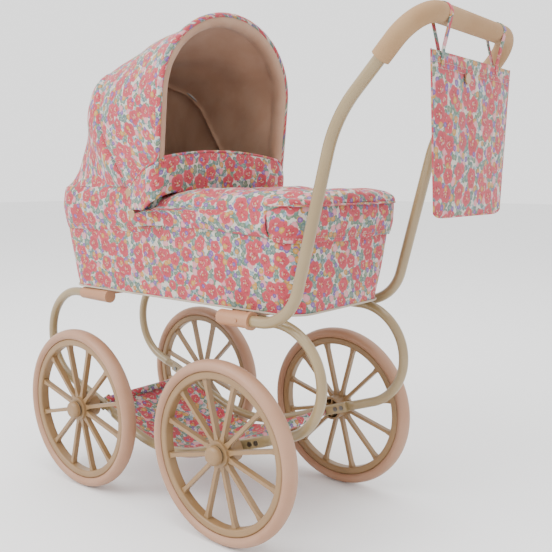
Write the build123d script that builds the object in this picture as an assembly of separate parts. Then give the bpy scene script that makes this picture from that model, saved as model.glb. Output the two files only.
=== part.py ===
from build123d import *
import os
from math import atan2, cos, degrees, radians, sin, tan

os.makedirs("parts", exist_ok=True)

# A doll's pram: a fabric carrycot with a folding hood on a sprung tube chassis with four spoked
# wheels, a plug-in push handle and a cloth bag that hangs from the grip.
# Millimetres. X runs across the pram, with +X its left side. -Y is the hood end and +Y the handle end.
# The pieces are drawn with Y = 0 midway between the axles and Z = 0 on the floor. At the end they
# all move along Y together, so that the origin lies under the middle of the pram's overall length.

# Fits and clearances.
running_clearance = 0.05      # radial, a wheel or a bow turning on its pin
fixed_clearance = 0.05        # radial, a tube or a rod held fast in its socket
soft_gap = 0.4                # between a soft piece and its neighbour

# Wheels.
wheelbase = 310.0
wheel_diameter = 254.0
wheel_plane = 138.2           # distance of a wheel's mid-plane from the pram's middle
tyre_width = 24.0
tyre_depth = 17.0
rim_outer_radius = 112.0
rim_depth = 11.0
rim_width = 16.0
spoke_count = 12
spoke_width = 5.2
spoke_thickness = 8.0
spoke_flare = 4.6             # half the spoke's width where it meets the hub and the rim
spoke_flare_length = 10.0
hub_diameter = 36.0
hub_inner_end = 114.0
hub_outer_end = 146.0
hub_cup_wall = 3.0
hub_cup_floor = 10.0
hub_rib_count = 6
hub_rib_thickness = 2.4
boss_diameter = 15.0
axle_diameter = 8.0
retaining_ring_thickness = 3.2
retaining_ring_diameter = 24.0
hub_cap_diameter = 27.0
hub_cap_height = 9.5
hub_cap_edge = 3.0
side_play = 0.5               # along the axle, between a wheel and what stands beside it

# Side frames: bent tubes with flattened ends that lie against each other at each axle.
frame_plane = 100.0
frame_tube_diameter = 14.0
tube_wall = 1.5
frame_slope = 19.8            # degrees, the rise of the tubes outward past each axle
rail_bend_radius = 221.0
spring_top_height = 306.0
front_spring_radius = 78.0
rear_spring_radius = 76.0
flat_thickness = 5.0
flat_height = 15.0
flat_corner = 2.2
flat_past_rivets = 9.0        # from the last rivet to the end of a rail's flat
flat_past_axle = 13.0         # from the axle to the end of a spring's flat
flat_taper_length = 17.0      # over which a round tube turns into a flat one
rivet_distance = 23.0         # from the axle to the first rivet
rivet_pitch = 12.0
rivet_diameter = 4.0
rivet_head_diameter = 7.0
rivet_head_height = 1.4

# Fittings under the carrycot.
front_barrel_start = -190.0
front_barrel_length = 68.0
front_barrel_mouth_diameter = 18.0
front_barrel_end_diameter = 20.6
rear_barrel_start = 140.0
rear_barrel_length = 58.0
rear_inner_barrel_diameter = 20.0
rear_outer_barrel_diameter = 21.0
rear_collar_diameter = 24.0
rear_collar_length = 5.0
socket_floor = 8.0            # solid end of a barrel, past the tube's end
crossbar_width = 28.0
crossbar_thickness = 9.0
crossbar_lug_length = 14.0    # from a barrel's axis to the crossbar's end
latch_tab = (6.0, 20.0, 6.5)

# Handle.
handle_plane = 122.4
handle_tube_diameter = 15.0
handle_height = 308.9         # axis of the tube in its socket
handle_lower_corner = 259.8   # along Y, where the tube turns up
handle_upper_corner = (324.6, 558.8)
handle_bar = (428.8, 666.5)   # axis of the cross bar, along Y and Z
handle_lower_bend = 62.0
handle_upper_bend = 150.0
handle_bar_bend = 42.0
grip_diameter = 23.0
grip_leg_length = 66.0        # from the bar's axis down each leg
button_diameter = 5.0
button_clearance = 0.1
button_proud = 1.2
button_from_barrel_start = 38.0

# Carrycot.
cot_bottom = 316.6
cot_rim = 455.0
cot_floor_half_width = 102.0
cot_floor_front = -228.0
cot_floor_rear = 255.0
cot_side_flare = 15.0         # how far each wall leans out from floor to rim
cot_front_flare = 12.0
cot_rear_flare = 16.0
front_corner_radius = 46.0
rear_corner_radius = 33.0
cover_thickness = 1.0
board_thickness = 4.0
floor_thickness = 5.0
lining_thickness = 1.0
layer_gap = 0.2
mattress_thickness = 26.0
piping_height = 3.0
piping_thickness = 1.8

# Apron over the foot end, and the hood's skirt round the head end.
apron_split = 25.0            # along Y, where the apron starts
apron_hem = 412.0
apron_stand_off = 6.0
apron_crown = 473.0
apron_edge_height = 12.0
skirt_hem = 412.0
skirt_top = 478.0
skirt_hem_stand_off = 7.0
skirt_top_stand_off = 12.0
skirt_thickness = 4.0
stud_diameter = 12.5
stud_height = 2.2

# Hood.
hood_thickness = 1.2
hood_arch_half_width = 139.0
hood_arch_foot_half_width = 138.5
hood_arch_spring = 610.0      # where the arch's straight sides end
hood_arch_top = 728.0
hood_front = 46.2             # along Y at the height below
hood_front_height = 600.0
hood_front_lean = 0.1         # along Y for each unit up
hood_dip = (-70.0, 126.0, 590.0, 696.0)      # station, half width, spring height, top height
hood_crown = (-190.0, 108.0, 560.0, 660.0)
hood_back = (-214.0, 92.0, 540.0, 637.0)
hood_foot_half_width = 133.0
hood_back_flare_top = 545.0
hood_back_corner = 40.0
lining_inset = 20.0
lining_foot = 545.0
pivot_point = (-42.0, 485.0)
front_bow_diameter = 8.0
rear_bow_diameter = 6.0
front_bow_back_set = 8.0      # from the hood's front edge back to the bow's axis
front_bow_side_inset = 12.0   # from the hood's outside in to the bow's axis
front_bow_top_inset = 11.0
front_bow_knee_height = 530.0
front_bow_knee_bend = 30.0
front_bow_arch_bend = 112.0
rear_bow_lean = 59.5          # degrees above the horizontal, leaning to the head end
rear_bow_reach = 200.0
rear_bow_half_width = 112.0
rear_bow_side_bend = 24.0
rear_bow_arch_bend = 88.0
pivot_pin_diameter = 6.0
pivot_head_height = 1.2
eyelet_diameter = 15.0
eyelet_thickness = 2.4
eyelet_gap = 0.3
tang_length = 14.0            # from the pivot to where a bow's flattened end turns round
tang_width = 7.0
rear_bow_bend_distance = 30.0
bracket_thickness = 2.5
bracket_width = 24.0
bracket_foot = 428.0
bracket_rim_gap = 0.4          # from the walls' top up to the bracket's step
bracket_step_height = cot_rim + bracket_rim_gap

# Draft flap that stands in the hood's mouth.
flap_half_width = 118.0
flap_thickness = 9.0
flap_height = 52.0
flap_back = 27.0
flap_gap = 0.4
flap_corner = 12.0

# Basket between the lower rails.
basket_half_width = 91.5
basket_cloth = 2.0
basket_sag = 18.0             # below the rails' own virtual corner
basket_bend_radius = 170.0
sleeve_clearance = 0.3
basket_stud_diameter = 10.0

# Bag.
bag_centre = -8.0
bag_top = 627.0
bag_bottom = 447.0
bag_top_width = 208.0
bag_bottom_width = 176.0
bag_thickness = 9.0
bag_loop_places = (74.0, -66.0)
bag_loop_width = 8.0
bag_loop_cloth = 1.2
bag_loop_gap = 0.35
bag_stud_place = (18.0, 603.0)

axle_height = wheel_diameter / 2
half_base = wheelbase / 2
slope = radians(frame_slope)
rivet_places = (rivet_distance, rivet_distance + rivet_pitch)


def rod(start, end, diameter):
    """A round bar from one point to another."""
    path = Line(start, end)
    return sweep(Plane(path @ 0, z_dir=path % 0) * Circle(diameter / 2), path=path)


def swept(path, diameter):
    """A round bar along a path."""
    return sweep(Plane(path @ 0, z_dir=path % 0) * Circle(diameter / 2), path=path)


def tube(path, diameter):
    """A round tube along a path, open at both ends."""
    return swept(path, diameter) - swept(path, diameter - 2 * tube_wall)


def across(x_from, x_to, diameter, y, z):
    """A round bar along X."""
    return rod((x_from, y, z), (x_to, y, z), diameter)


def mirrored(part):
    """The same piece on the pram's other side."""
    return mirror(part, about=Plane.YZ)


# ---------------------------------------------------------------- wheels

def revolve_about_axle(section):
    """Turn a section drawn with its radius along X and its place along the axle on Y."""
    return Rot(0, 0, -90) * revolve(section, Axis.Y)


def tyre():
    """A rubber tyre with an oval section, seated on the rim."""
    middle = wheel_diameter / 2 - tyre_depth / 2
    oval = Pos(middle, 0) * Ellipse(tyre_depth / 2, tyre_width / 2)
    seat = Rectangle(rim_outer_radius + fixed_clearance, tyre_width, align=(Align.MIN, Align.CENTER))
    return revolve_about_axle(oval - seat)


def spoke():
    """One flat spoke, flared where it meets the hub and the rim, along +Y."""
    inner = hub_diameter / 2 - 1
    outer = rim_outer_radius - rim_depth + 1.5
    half = spoke_width / 2
    outline = Polyline(
        (-spoke_flare, inner), (-half, inner + spoke_flare_length), (-half, outer - spoke_flare_length),
        (-spoke_flare, outer), (spoke_flare, outer), (half, outer - spoke_flare_length),
        (half, inner + spoke_flare_length), (spoke_flare, inner), close=True,
    )
    bar = extrude(make_face(outline), spoke_thickness / 2, both=True)
    return Rot(0, 90, 0) * bar


def wheel_moulding():
    """Rim, spokes and hub in one moulding, drawn about X = 0."""
    rim_section = Pos(rim_outer_radius - rim_depth / 2, 0) * RectangleRounded(rim_depth, rim_width, 3.0)
    body = revolve_about_axle(rim_section)
    inner_end = hub_inner_end - wheel_plane
    outer_end = hub_outer_end - wheel_plane
    boss_end = frame_plane + flat_thickness + side_play - wheel_plane
    hub = across(inner_end, outer_end, hub_diameter, 0, 0)
    cup_floor = outer_end - hub_cup_floor
    hub -= across(inner_end, cup_floor, hub_diameter - 2 * hub_cup_wall, 0, 0)
    body += hub + across(boss_end, cup_floor, boss_diameter, 0, 0)
    rib_reach = hub_diameter / 2 - hub_cup_wall / 2
    for index in range(hub_rib_count):
        rib = Pos(0, 0, (boss_diameter / 2 + rib_reach) / 2 - 1) * Box(
            cup_floor - inner_end - 2, hub_rib_thickness, rib_reach - boss_diameter / 2 + 2
        )
        body += Rot(360 / hub_rib_count * index, 0, 0) * Pos((cup_floor + inner_end) / 2 + 1, 0, 0) * rib
    for index in range(spoke_count):
        body += Rot(360 / spoke_count * (index + 0.5), 0, 0) * spoke()
    bore = axle_diameter + 2 * running_clearance
    return body - across(boss_end - 1, outer_end + 1, bore, 0, 0)


def retaining_ring():
    """The bright push-on ring that keeps a wheel on its axle."""
    start = hub_outer_end + side_play
    ring = across(start, start + retaining_ring_thickness, retaining_ring_diameter, 0, 0)
    bore = axle_diameter + 2 * fixed_clearance
    return ring - across(start - 1, start + retaining_ring_thickness + 1, bore, 0, 0)


def hub_cap():
    """A domed cap over the axle's end."""
    start = hub_outer_end + side_play + retaining_ring_thickness
    dome = across(0, hub_cap_height, hub_cap_diameter, 0, 0)
    dome = fillet(dome.edges().sort_by(Axis.X)[-1:], hub_cap_height - hub_cap_edge)
    socket = across(-1, axle_end - start, axle_diameter + 2 * fixed_clearance, 0, 0)
    return Pos(start, 0, 0) * (dome - socket)


axle_end = hub_outer_end + side_play + retaining_ring_thickness + 3.0


def axle(y):
    return across(-axle_end, axle_end, axle_diameter, y, axle_height)


# ---------------------------------------------------------------- side frames

def frame_point(end, distance, x):
    """A point on the sloping line through an axle. end is -1 at the front and 1 at the rear, and
    distance is measured outward from the axle."""
    along = half_base + distance * cos(slope)
    return (x, end * along, axle_height + distance * sin(slope))


def flat_plane(end, distance, x):
    return Plane(frame_point(end, distance, x), x_dir=(1, 0, 0), z_dir=(0, end * cos(slope), sin(slope)))


def flat_end(end, x_flat, flat_from, flat_to, round_at):
    """A tube's flattened end: a plate beside the frame's plane, and its taper to the round tube."""
    profile = RectangleRounded(flat_thickness, flat_height, flat_corner)
    plate = extrude(flat_plane(end, flat_from, x_flat) * profile, flat_to - flat_from)
    near = flat_to if abs(round_at - flat_to) < abs(round_at - flat_from) else flat_from
    taper = loft([
        flat_plane(end, near, x_flat) * profile,
        flat_plane(end, round_at, frame_plane) * Circle(frame_tube_diameter / 2),
    ])
    return plate + taper


def frame_holes(end):
    """The holes through both flats at one axle."""
    point = frame_point(end, 0, 0)
    reach = (frame_plane - 12, frame_plane + 12)
    holes = across(*reach, axle_diameter + 2 * fixed_clearance, point[1], point[2])
    for place in rivet_places:
        point = frame_point(end, place, 0)
        holes += across(*reach, rivet_diameter + 2 * fixed_clearance, point[1], point[2])
    return holes


flat_inner = frame_plane - flat_thickness / 2
flat_outer = frame_plane + flat_thickness / 2
rail_round = -(flat_past_axle + flat_taper_length + 8)
rail_flat = (-(flat_past_axle + 8), rivet_places[-1] + flat_past_rivets)
spring_flat = (-flat_past_axle, rivet_places[-1] + flat_past_rivets)
spring_round = spring_flat[1] + flat_taper_length
rail_corner_height = axle_height - half_base * tan(slope)


def lower_rail():
    """The left lower rail, which dips between the axles."""
    path = FilletPolyline(
        frame_point(-1, rail_round, frame_plane), (frame_plane, 0, rail_corner_height),
        frame_point(1, rail_round, frame_plane), radius=rail_bend_radius,
    )
    rail = tube(path, frame_tube_diameter)
    for end in (-1, 1):
        rail += flat_end(end, flat_inner, rail_flat[0], rail_flat[1], rail_round)
        rail -= frame_holes(end)
    return rail


def spring(end, radius, tube_end):
    """A left C spring: up the slope past the axle, round, and back along the top to its fitting."""
    centre_height = spring_top_height - radius
    arc_start_height = centre_height - radius * cos(slope)
    arc_start = half_base + (arc_start_height - axle_height) / tan(slope)
    centre = arc_start - radius * sin(slope)
    start = frame_point(end, spring_round, frame_plane)
    arc_from = (frame_plane, end * arc_start, arc_start_height)
    bulge = (frame_plane, end * (centre + radius), centre_height)
    arc_to = (frame_plane, end * centre, spring_top_height)
    path = Wire([
        Line(start, arc_from), ThreePointArc(arc_from, bulge, arc_to),
        Line(arc_to, (frame_plane, tube_end, spring_top_height)),
    ])
    part = tube(path, frame_tube_diameter)
    part += flat_end(end, flat_outer, spring_flat[0], spring_flat[1], spring_round)
    return part - frame_holes(end)


def frame_rivets():
    """The rivets that hold each spring to its rail, as one group."""
    rivets = []
    half = flat_thickness + rivet_head_height
    for side in (-1, 1):
        for end in (-1, 1):
            for place in rivet_places:
                _, y, z = frame_point(end, place, 0)
                middle = side * frame_plane
                shank = across(middle - half, middle + half, rivet_diameter, y, z)
                for face in (-1, 1):
                    inner = middle + face * flat_thickness
                    shank += across(inner, middle + face * half, rivet_head_diameter, y, z)
                rivets.append(shank)
    return Compound(children=rivets)


# ---------------------------------------------------------------- fittings

front_barrel_end = front_barrel_start + front_barrel_length
front_tube_end = front_barrel_end - socket_floor
rear_tube_end = rear_barrel_start + socket_floor
front_crossbar_y = front_barrel_end - socket_floor - crossbar_width / 2
rear_crossbar_y = rear_barrel_start + crossbar_width
lug_end = frame_plane - crossbar_lug_length
crossbar_middle = cot_bottom - crossbar_thickness / 2
socket_bore = frame_tube_diameter + 2 * fixed_clearance
handle_bore = handle_tube_diameter + 2 * fixed_clearance


def along_y(x, z, y_from, y_to, diameter):
    return rod((x, y_from, z), (x, y_to, z), diameter)


def lug(y):
    """The block that carries a crossbar's end."""
    width = crossbar_lug_length
    return Pos(frame_plane - width / 2, y, crossbar_middle) * Box(width, crossbar_width, crossbar_thickness)


def front_fitting():
    """Closed barrel on the front spring's end."""
    barrel = loft([
        Plane((frame_plane, front_barrel_start, spring_top_height), z_dir=(0, 1, 0))
        * Circle(front_barrel_mouth_diameter / 2),
        Plane((frame_plane, front_barrel_end, spring_top_height), z_dir=(0, 1, 0))
        * Circle(front_barrel_end_diameter / 2),
    ])
    barrel += lug(front_crossbar_y)
    return barrel - along_y(frame_plane, spring_top_height, front_barrel_start - 1, front_tube_end, socket_bore)


def rear_fitting():
    """Two joined barrels: the inner takes the rear spring and the outer takes the handle."""
    y_end = rear_barrel_start + rear_barrel_length
    inner = along_y(frame_plane, spring_top_height, rear_barrel_start + 4, y_end - 8, rear_inner_barrel_diameter)
    outer = along_y(handle_plane, handle_height, rear_barrel_start, y_end, rear_outer_barrel_diameter)
    outer = fillet(outer.edges().sort_by(Axis.Y)[:1], 4.0)
    collar = along_y(handle_plane, handle_height, y_end - rear_collar_length, y_end, rear_collar_diameter)
    web_width = handle_plane - frame_plane
    web = Pos((handle_plane + frame_plane) / 2, rear_barrel_start + rear_barrel_length / 2, spring_top_height + 1)
    web *= Box(web_width, rear_barrel_length - 16, 11)
    tab = Pos(frame_plane + 8, rear_barrel_start + 24, cot_bottom - layer_gap - latch_tab[2] / 2) * Box(*latch_tab)
    body = inner + outer + collar + web + tab + lug(rear_crossbar_y)
    body -= along_y(frame_plane, spring_top_height, rear_tube_end, y_end + 1, socket_bore)
    body -= along_y(handle_plane, handle_height, rear_tube_end, y_end + 1, handle_bore)
    return body - button_hole()


def crossbar(y):
    length = 2 * lug_end
    return Pos(0, y, crossbar_middle) * Box(length, crossbar_width, crossbar_thickness)


# ---------------------------------------------------------------- handle

button_y = rear_barrel_start + button_from_barrel_start
button_inner = handle_plane + handle_tube_diameter / 2 - tube_wall - 4.0
button_outer = handle_plane + rear_outer_barrel_diameter / 2 + button_proud


def button_hole():
    outside = handle_plane + rear_collar_diameter
    return across(handle_plane, outside, button_diameter + 2 * button_clearance, button_y, handle_height)


def handle_button():
    """The left snap button, a round pin that springs out through the tube and its socket."""
    return across(button_inner, button_outer, button_diameter, button_y, handle_height)


def handle_tube():
    """The push handle: one bent tube from socket to socket."""
    right = [
        (-handle_plane, rear_tube_end, handle_height),
        (-handle_plane, handle_lower_corner, handle_height),
        (-handle_plane, *handle_upper_corner),
        (-handle_plane, *handle_bar),
    ]
    left = [(-x, y, z) for x, y, z in reversed(right)]
    bends = [handle_lower_bend, handle_upper_bend, handle_bar_bend]
    path = FilletPolyline(*right, *left, radius=bends + bends[::-1])
    part = tube(path, handle_tube_diameter)
    return part - button_hole() - mirrored(button_hole())


def handle_grip():
    """The foam sleeve over the bar, its bends and the top of each leg."""
    rise = handle_bar[1] - handle_upper_corner[1]
    run = handle_bar[0] - handle_upper_corner[0]
    angle = atan2(rise, run)
    foot = (handle_bar[0] - grip_leg_length * cos(angle), handle_bar[1] - grip_leg_length * sin(angle))
    path = FilletPolyline(
        (-handle_plane, *foot), (-handle_plane, *handle_bar), (handle_plane, *handle_bar),
        (handle_plane, *foot), radius=handle_bar_bend,
    )
    return swept(path, grip_diameter) - swept(path, handle_bore)


# ---------------------------------------------------------------- carrycot

def cot_plan(z, grow):
    """The carrycot's outline at one height, moved outward by grow."""
    rise = (z - cot_bottom) / (cot_rim - cot_bottom)
    half = cot_floor_half_width + rise * cot_side_flare + grow
    front = cot_floor_front - rise * cot_front_flare - grow
    rear = cot_floor_rear + rise * cot_rear_flare + grow
    outline = Pos(0, (front + rear) / 2, z) * Rectangle(2 * half, rear - front)
    outline = fillet(outline.vertices().sort_by(Axis.Y)[:2], front_corner_radius + grow)
    return fillet(outline.vertices().sort_by(Axis.Y)[-2:], rear_corner_radius + grow)


def cot_block(z_from, z_to, grow_from, grow_to):
    return loft([cot_plan(z_from, grow_from), cot_plan(z_to, grow_to)], ruled=True)


def cot_layer(z_from, z_to, outside, thickness):
    """A wall of even thickness that follows the carrycot's sides."""
    inside = outside - thickness
    return cot_block(z_from, z_to, outside, outside) - cot_block(z_from, z_to, inside, inside)


board_outside = -cover_thickness - layer_gap
lining_outside = board_outside - board_thickness - layer_gap
cabin_outside = lining_outside - lining_thickness
wall_foot = cot_bottom + floor_thickness + layer_gap


def cot_cover():
    return cot_layer(cot_bottom, cot_rim, 0, cover_thickness)


def cot_walls():
    return cot_layer(wall_foot, cot_rim, board_outside, board_thickness)


def cot_lining():
    return cot_layer(wall_foot, cot_rim, lining_outside, lining_thickness)


def cot_floor():
    return cot_block(cot_bottom, cot_bottom + floor_thickness, board_outside, board_outside)


def mattress():
    z = wall_foot + soft_gap
    inside = cabin_outside - soft_gap
    return cot_block(z, z + mattress_thickness, inside, inside)


def cot_piping():
    return cot_layer(cot_bottom, cot_bottom + piping_height, layer_gap + piping_thickness, piping_thickness)


def half_space(y, keep):
    """A large block on one side of a plane across the pram. keep is -1 for the hood's side."""
    size = 2000.0
    return Pos(0, y + keep * size / 2, size / 2) * Box(size, size, size)


def apron():
    """The padded cover over the foot end, with a skirt that hangs outside the walls."""
    edge = cot_rim + soft_gap
    outer = cot_block(apron_hem, edge, apron_stand_off, apron_stand_off)
    shoulder = edge + apron_edge_height
    outer += cot_block(edge, shoulder, apron_stand_off, -apron_stand_off)
    outer += cot_block(shoulder, apron_crown, -apron_stand_off, -4 * apron_stand_off)
    inner = cot_block(apron_hem - 1, edge, soft_gap, soft_gap)
    return (outer - inner) & half_space(apron_split, 1)


def hood_skirt():
    """The cloth band round the head end, outside the walls."""
    outer = cot_block(skirt_hem, skirt_top, skirt_hem_stand_off, skirt_top_stand_off)
    hem_inside = skirt_hem_stand_off - skirt_thickness
    inner = cot_block(skirt_hem, skirt_top, hem_inside, skirt_top_stand_off - skirt_thickness)
    return (outer - inner) & half_space(apron_split - soft_gap, -1)


# ---------------------------------------------------------------- hood

def arch_face(y, half_foot, half_width, spring_z, top, inset, foot):
    """A closed arch across the pram: straight sides with half an ellipse on top."""
    a = half_width - inset
    b = top - spring_z - inset
    foot_half = half_foot - inset
    plane = Plane((0, y, spring_z), x_dir=(1, 0, 0), z_dir=(0, -1, 0))
    down = foot - spring_z
    outline = (
        Line((-foot_half, down), (foot_half, down)) + Line((foot_half, down), (a, 0))
        + EllipticalCenterArc((0, 0), a, b, arc_size=180) + Line((-a, 0), (-foot_half, down))
    )
    return plane * make_face(outline)


def front_of_hood(z):
    return hood_front + hood_front_lean * (z - hood_front_height)


def hood_front_cutter(z_from, inset):
    """Everything in front of the hood's leaning front edge, less a margin."""
    plane = Plane((0, front_of_hood(z_from) - inset, z_from), x_dir=(1, 0, 0),
                  z_dir=(0, 1, -hood_front_lean))
    return extrude(plane * Rectangle(2000, 2000), 500)


def hood_block(inset, front_inset):
    """The hood's filled shape, taken in by inset all round."""
    foot = skirt_top + soft_gap
    reach = front_of_hood(hood_arch_top) + 1
    stations = [
        (reach, hood_arch_foot_half_width, hood_arch_half_width, hood_arch_spring, hood_arch_top + 2),
        (hood_dip[0], hood_foot_half_width, *hood_dip[1:]),
        (hood_crown[0], hood_foot_half_width - 6, *hood_crown[1:]),
        (hood_back[0] + inset, hood_foot_half_width - 22, *hood_back[1:]),
    ]
    block = loft([arch_face(*station, inset, foot) for station in stations], ruled=True)
    flare_foot = cot_plan(foot, skirt_top_stand_off - inset)
    width = 2 * (hood_crown[1] - inset)
    length = abs(hood_back[0]) - inset
    flare_top = Pos(0, -length / 2, hood_back_flare_top) * RectangleRounded(width, length, hood_back_corner)
    trim = half_plan(-length / 2)
    block += loft([flare_foot & trim, flare_top & trim], ruled=True)
    return block - hood_front_cutter(hood_front_height, front_inset)


def half_plan(y):
    """A flat sheet on the hood's side of y at every height, used to trim outlines."""
    return Pos(0, y - 1000, 500) * Box(2000, 2000, 1000)


def hood_canopy():
    return hood_block(0, 0) - hood_block(hood_thickness, -50)


def hood_lining():
    lining = hood_block(lining_inset, 4) - hood_block(lining_inset + lining_thickness, -50)
    size = 1000.0
    return lining & Pos(0, 0, lining_foot + size / 2) * Box(size, size, size)


eyelet_bore = pivot_pin_diameter + 2 * running_clearance
bracket_outside = cot_floor_half_width + cot_side_flare + bracket_thickness + 0.6
rear_eyelet = bracket_outside + eyelet_gap
front_eyelet = rear_eyelet + eyelet_thickness + eyelet_gap
pin_head = front_eyelet + eyelet_thickness + eyelet_gap


def eyelet(x_from, direction):
    """A bow's flattened end: a ring on the pivot and a tang towards the bow. direction is a unit
    vector in the YZ plane."""
    ring = across(x_from, x_from + eyelet_thickness, eyelet_diameter, *pivot_point)
    plane = Plane(Vector(x_from + eyelet_thickness / 2, *pivot_point), x_dir=(1, 0, 0), z_dir=direction)
    ring += extrude(plane * Rectangle(eyelet_thickness, tang_width), tang_length + 1)
    return ring - across(x_from - 1, x_from + eyelet_thickness + 1, eyelet_bore, *pivot_point)


def bow(path, diameter, left_eyelet):
    """A round bow along its path, with an eyelet on each end."""
    return swept(path, diameter) + left_eyelet + mirrored(left_eyelet)


def flipped(point):
    return Vector(-point.X, point.Y, point.Z)


def front_bow():
    """The bow in the hood's front hem: an arch, and a leg from each side to its pivot."""
    lean = Plane((0, front_of_hood(hood_arch_spring) - front_bow_back_set, hood_arch_spring), x_dir=(1, 0, 0),
                 z_dir=(0, -1, hood_front_lean))
    half = hood_arch_half_width - front_bow_side_inset
    knee = lean.from_local_coords(Vector(half, front_bow_knee_height - hood_arch_spring, 0))
    corner = lean.from_local_coords(Vector(half, hood_arch_top - hood_arch_spring - front_bow_top_inset, 0))
    hinge = Vector(front_eyelet + eyelet_thickness / 2, *pivot_point)
    direction = Vector(0, knee.Y - hinge.Y, knee.Z - hinge.Z).normalized()
    left = [hinge + direction * tang_length, knee, corner]
    right = [flipped(point) for point in reversed(left)]
    bends = [front_bow_knee_bend, front_bow_arch_bend]
    path = FilletPolyline(*left, *right, radius=bends + bends[::-1])
    return bow(path, front_bow_diameter, eyelet(front_eyelet, direction))


def rear_bow():
    """The bow behind it, an arch in a plane through the pivots."""
    angle = radians(rear_bow_lean)
    out = Vector(0, -cos(angle), sin(angle))
    hinge = Vector(rear_eyelet + eyelet_thickness / 2, *pivot_point)
    sideways = Vector(rear_bow_half_width - hinge.X, 0, 0)
    left = [
        hinge + out * tang_length, hinge + out * rear_bow_bend_distance,
        hinge + out * 2 * rear_bow_bend_distance + sideways, hinge + out * rear_bow_reach + sideways,
    ]
    right = [flipped(point) for point in reversed(left)]
    bends = [rear_bow_side_bend, rear_bow_side_bend, rear_bow_arch_bend]
    path = FilletPolyline(*left, *right, radius=bends + bends[::-1])
    return bow(path, rear_bow_diameter, eyelet(rear_eyelet, out))


def hood_bracket():
    """A stepped plate on the left wall's inside that carries the hood's pivot above the rim."""
    y = pivot_point[0]
    inside = cot_floor_half_width + cabin_outside + 0.86 * cot_side_flare - bracket_thickness
    outside = bracket_outside - bracket_thickness
    step = bracket_step_height
    lower = Pos(inside - 2 + bracket_thickness / 2, y, (bracket_foot + step + bracket_thickness) / 2)
    lower *= Box(bracket_thickness, bracket_width, step + bracket_thickness - bracket_foot)
    shelf = Pos((inside - 2 + bracket_outside) / 2, y, step + bracket_thickness / 2)
    shelf *= Box(bracket_outside - inside + 2, bracket_width, bracket_thickness)
    upper_height = pivot_point[1] - step
    upper = Pos(outside + bracket_thickness / 2, y, step + upper_height / 2)
    upper *= Box(bracket_thickness, bracket_width, upper_height)
    upper += across(outside, bracket_outside, bracket_width, *pivot_point)
    hole = across(inside, bracket_outside + 1, pivot_pin_diameter + 2 * fixed_clearance, *pivot_point)
    return lower + shelf + upper - hole


def hood_pivot_pins():
    """The two rivets that the bows turn on."""
    end = pin_head + pivot_head_height
    pin = across(bracket_outside - bracket_thickness, end, pivot_pin_diameter, *pivot_point)
    pin += across(pin_head, end, pivot_pin_diameter + 4, *pivot_point)
    return Compound(children=[pin, mirrored(pin)])


def draft_flap():
    """The padded flap that stands across the hood's mouth, above the apron, on its rolled foot."""
    foot = apron_crown + flap_gap
    top = foot + flap_height
    middle = flap_back + flap_thickness / 2
    hinge_height = foot + flap_thickness / 2
    profile = Pos(middle, (hinge_height + top) / 2) * Rectangle(flap_thickness, top - hinge_height)
    profile += Pos(middle, hinge_height) * Circle(flap_thickness / 2)
    side_plane = Plane((-flap_half_width, 0, 0), x_dir=(0, 1, 0), z_dir=(1, 0, 0))
    pad = extrude(side_plane * profile, 2 * flap_half_width)
    corners = pad.edges().filter_by(Axis.Y).group_by(Axis.Z)[-1]
    return fillet(corners, flap_corner)


def wall_stud(x, y, z):
    """A press stud's cap on the left side, standing on the cloth at x."""
    cap = across(x, x + stud_height, stud_diameter, y, z)
    return fillet(cap.edges().sort_by(Axis.X)[-1:], stud_height * 0.6)


def cot_studs():
    """Press studs that hold the skirt to the carrycot, two on each side."""
    caps = []
    for y, z, clear in ((-30.0, 471.0, 1.6), (-30.0, 440.0, 2.0)):
        share = (z - skirt_hem) / (skirt_top - skirt_hem)
        stand_off = skirt_hem_stand_off + share * (skirt_top_stand_off - skirt_hem_stand_off)
        rise = (z - cot_bottom) / (cot_rim - cot_bottom)
        cloth = cot_floor_half_width + rise * cot_side_flare + stand_off
        cap = wall_stud(cloth + clear, y, z)
        caps += [cap, mirrored(cap)]
    return Compound(children=caps)


# ---------------------------------------------------------------- basket

def basket():
    """The cloth sling between the rails, with a sleeve round each axle."""
    sleeve_outer = axle_diameter + 2 * (sleeve_clearance + basket_cloth)
    corner = rail_corner_height - basket_sag
    lower = FilletPolyline((-half_base, axle_height - sleeve_outer / 2), (0, corner),
                           (half_base, axle_height - sleeve_outer / 2), radius=basket_bend_radius)
    upper = Pos(0, basket_cloth) * lower
    ends = [Line(lower @ 0, upper @ 0), Line(lower @ 1, upper @ 1)]
    profile = make_face(lower.edges() + upper.edges() + ends)
    width = 2 * basket_half_width
    plane = Plane((-basket_half_width, 0, 0), x_dir=(0, 1, 0), z_dir=(1, 0, 0))
    sling = extrude(plane * profile, width)
    for y in (-half_base, half_base):
        sling += across(-basket_half_width, basket_half_width, sleeve_outer, y, axle_height)
        bore = axle_diameter + 2 * sleeve_clearance
        sling -= across(-basket_half_width - 1, basket_half_width + 1, bore, y, axle_height)
    return sling


def basket_studs():
    """Press studs that close the basket's sleeves, two at each corner."""
    caps = []
    radius = axle_diameter / 2 + sleeve_clearance + basket_cloth + 0.1
    for side in (-1, 1):
        for end in (-1, 1):
            y = end * half_base
            cap = rod((0, 0, radius), (0, 0, radius + 1.6), basket_stud_diameter)
            caps.append(Pos(side * (basket_half_width - 10), y, axle_height) * Rot(end * -60, 0, 0) * cap)
    return Compound(children=caps)


# ---------------------------------------------------------------- bag

def bag():
    """A flat cloth bag that hangs under the grip."""
    half_top = bag_top_width / 2
    half_bottom = bag_bottom_width / 2
    outline = Polyline(
        (bag_centre - half_top, bag_top), (bag_centre + half_top, bag_top),
        (bag_centre + half_bottom, bag_bottom), (bag_centre - half_bottom, bag_bottom), close=True,
    )
    plane = Plane((0, handle_bar[0] + bag_thickness / 2, 0), x_dir=(1, 0, 0), z_dir=(0, -1, 0))
    return extrude(plane * make_face(outline), bag_thickness)


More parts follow.
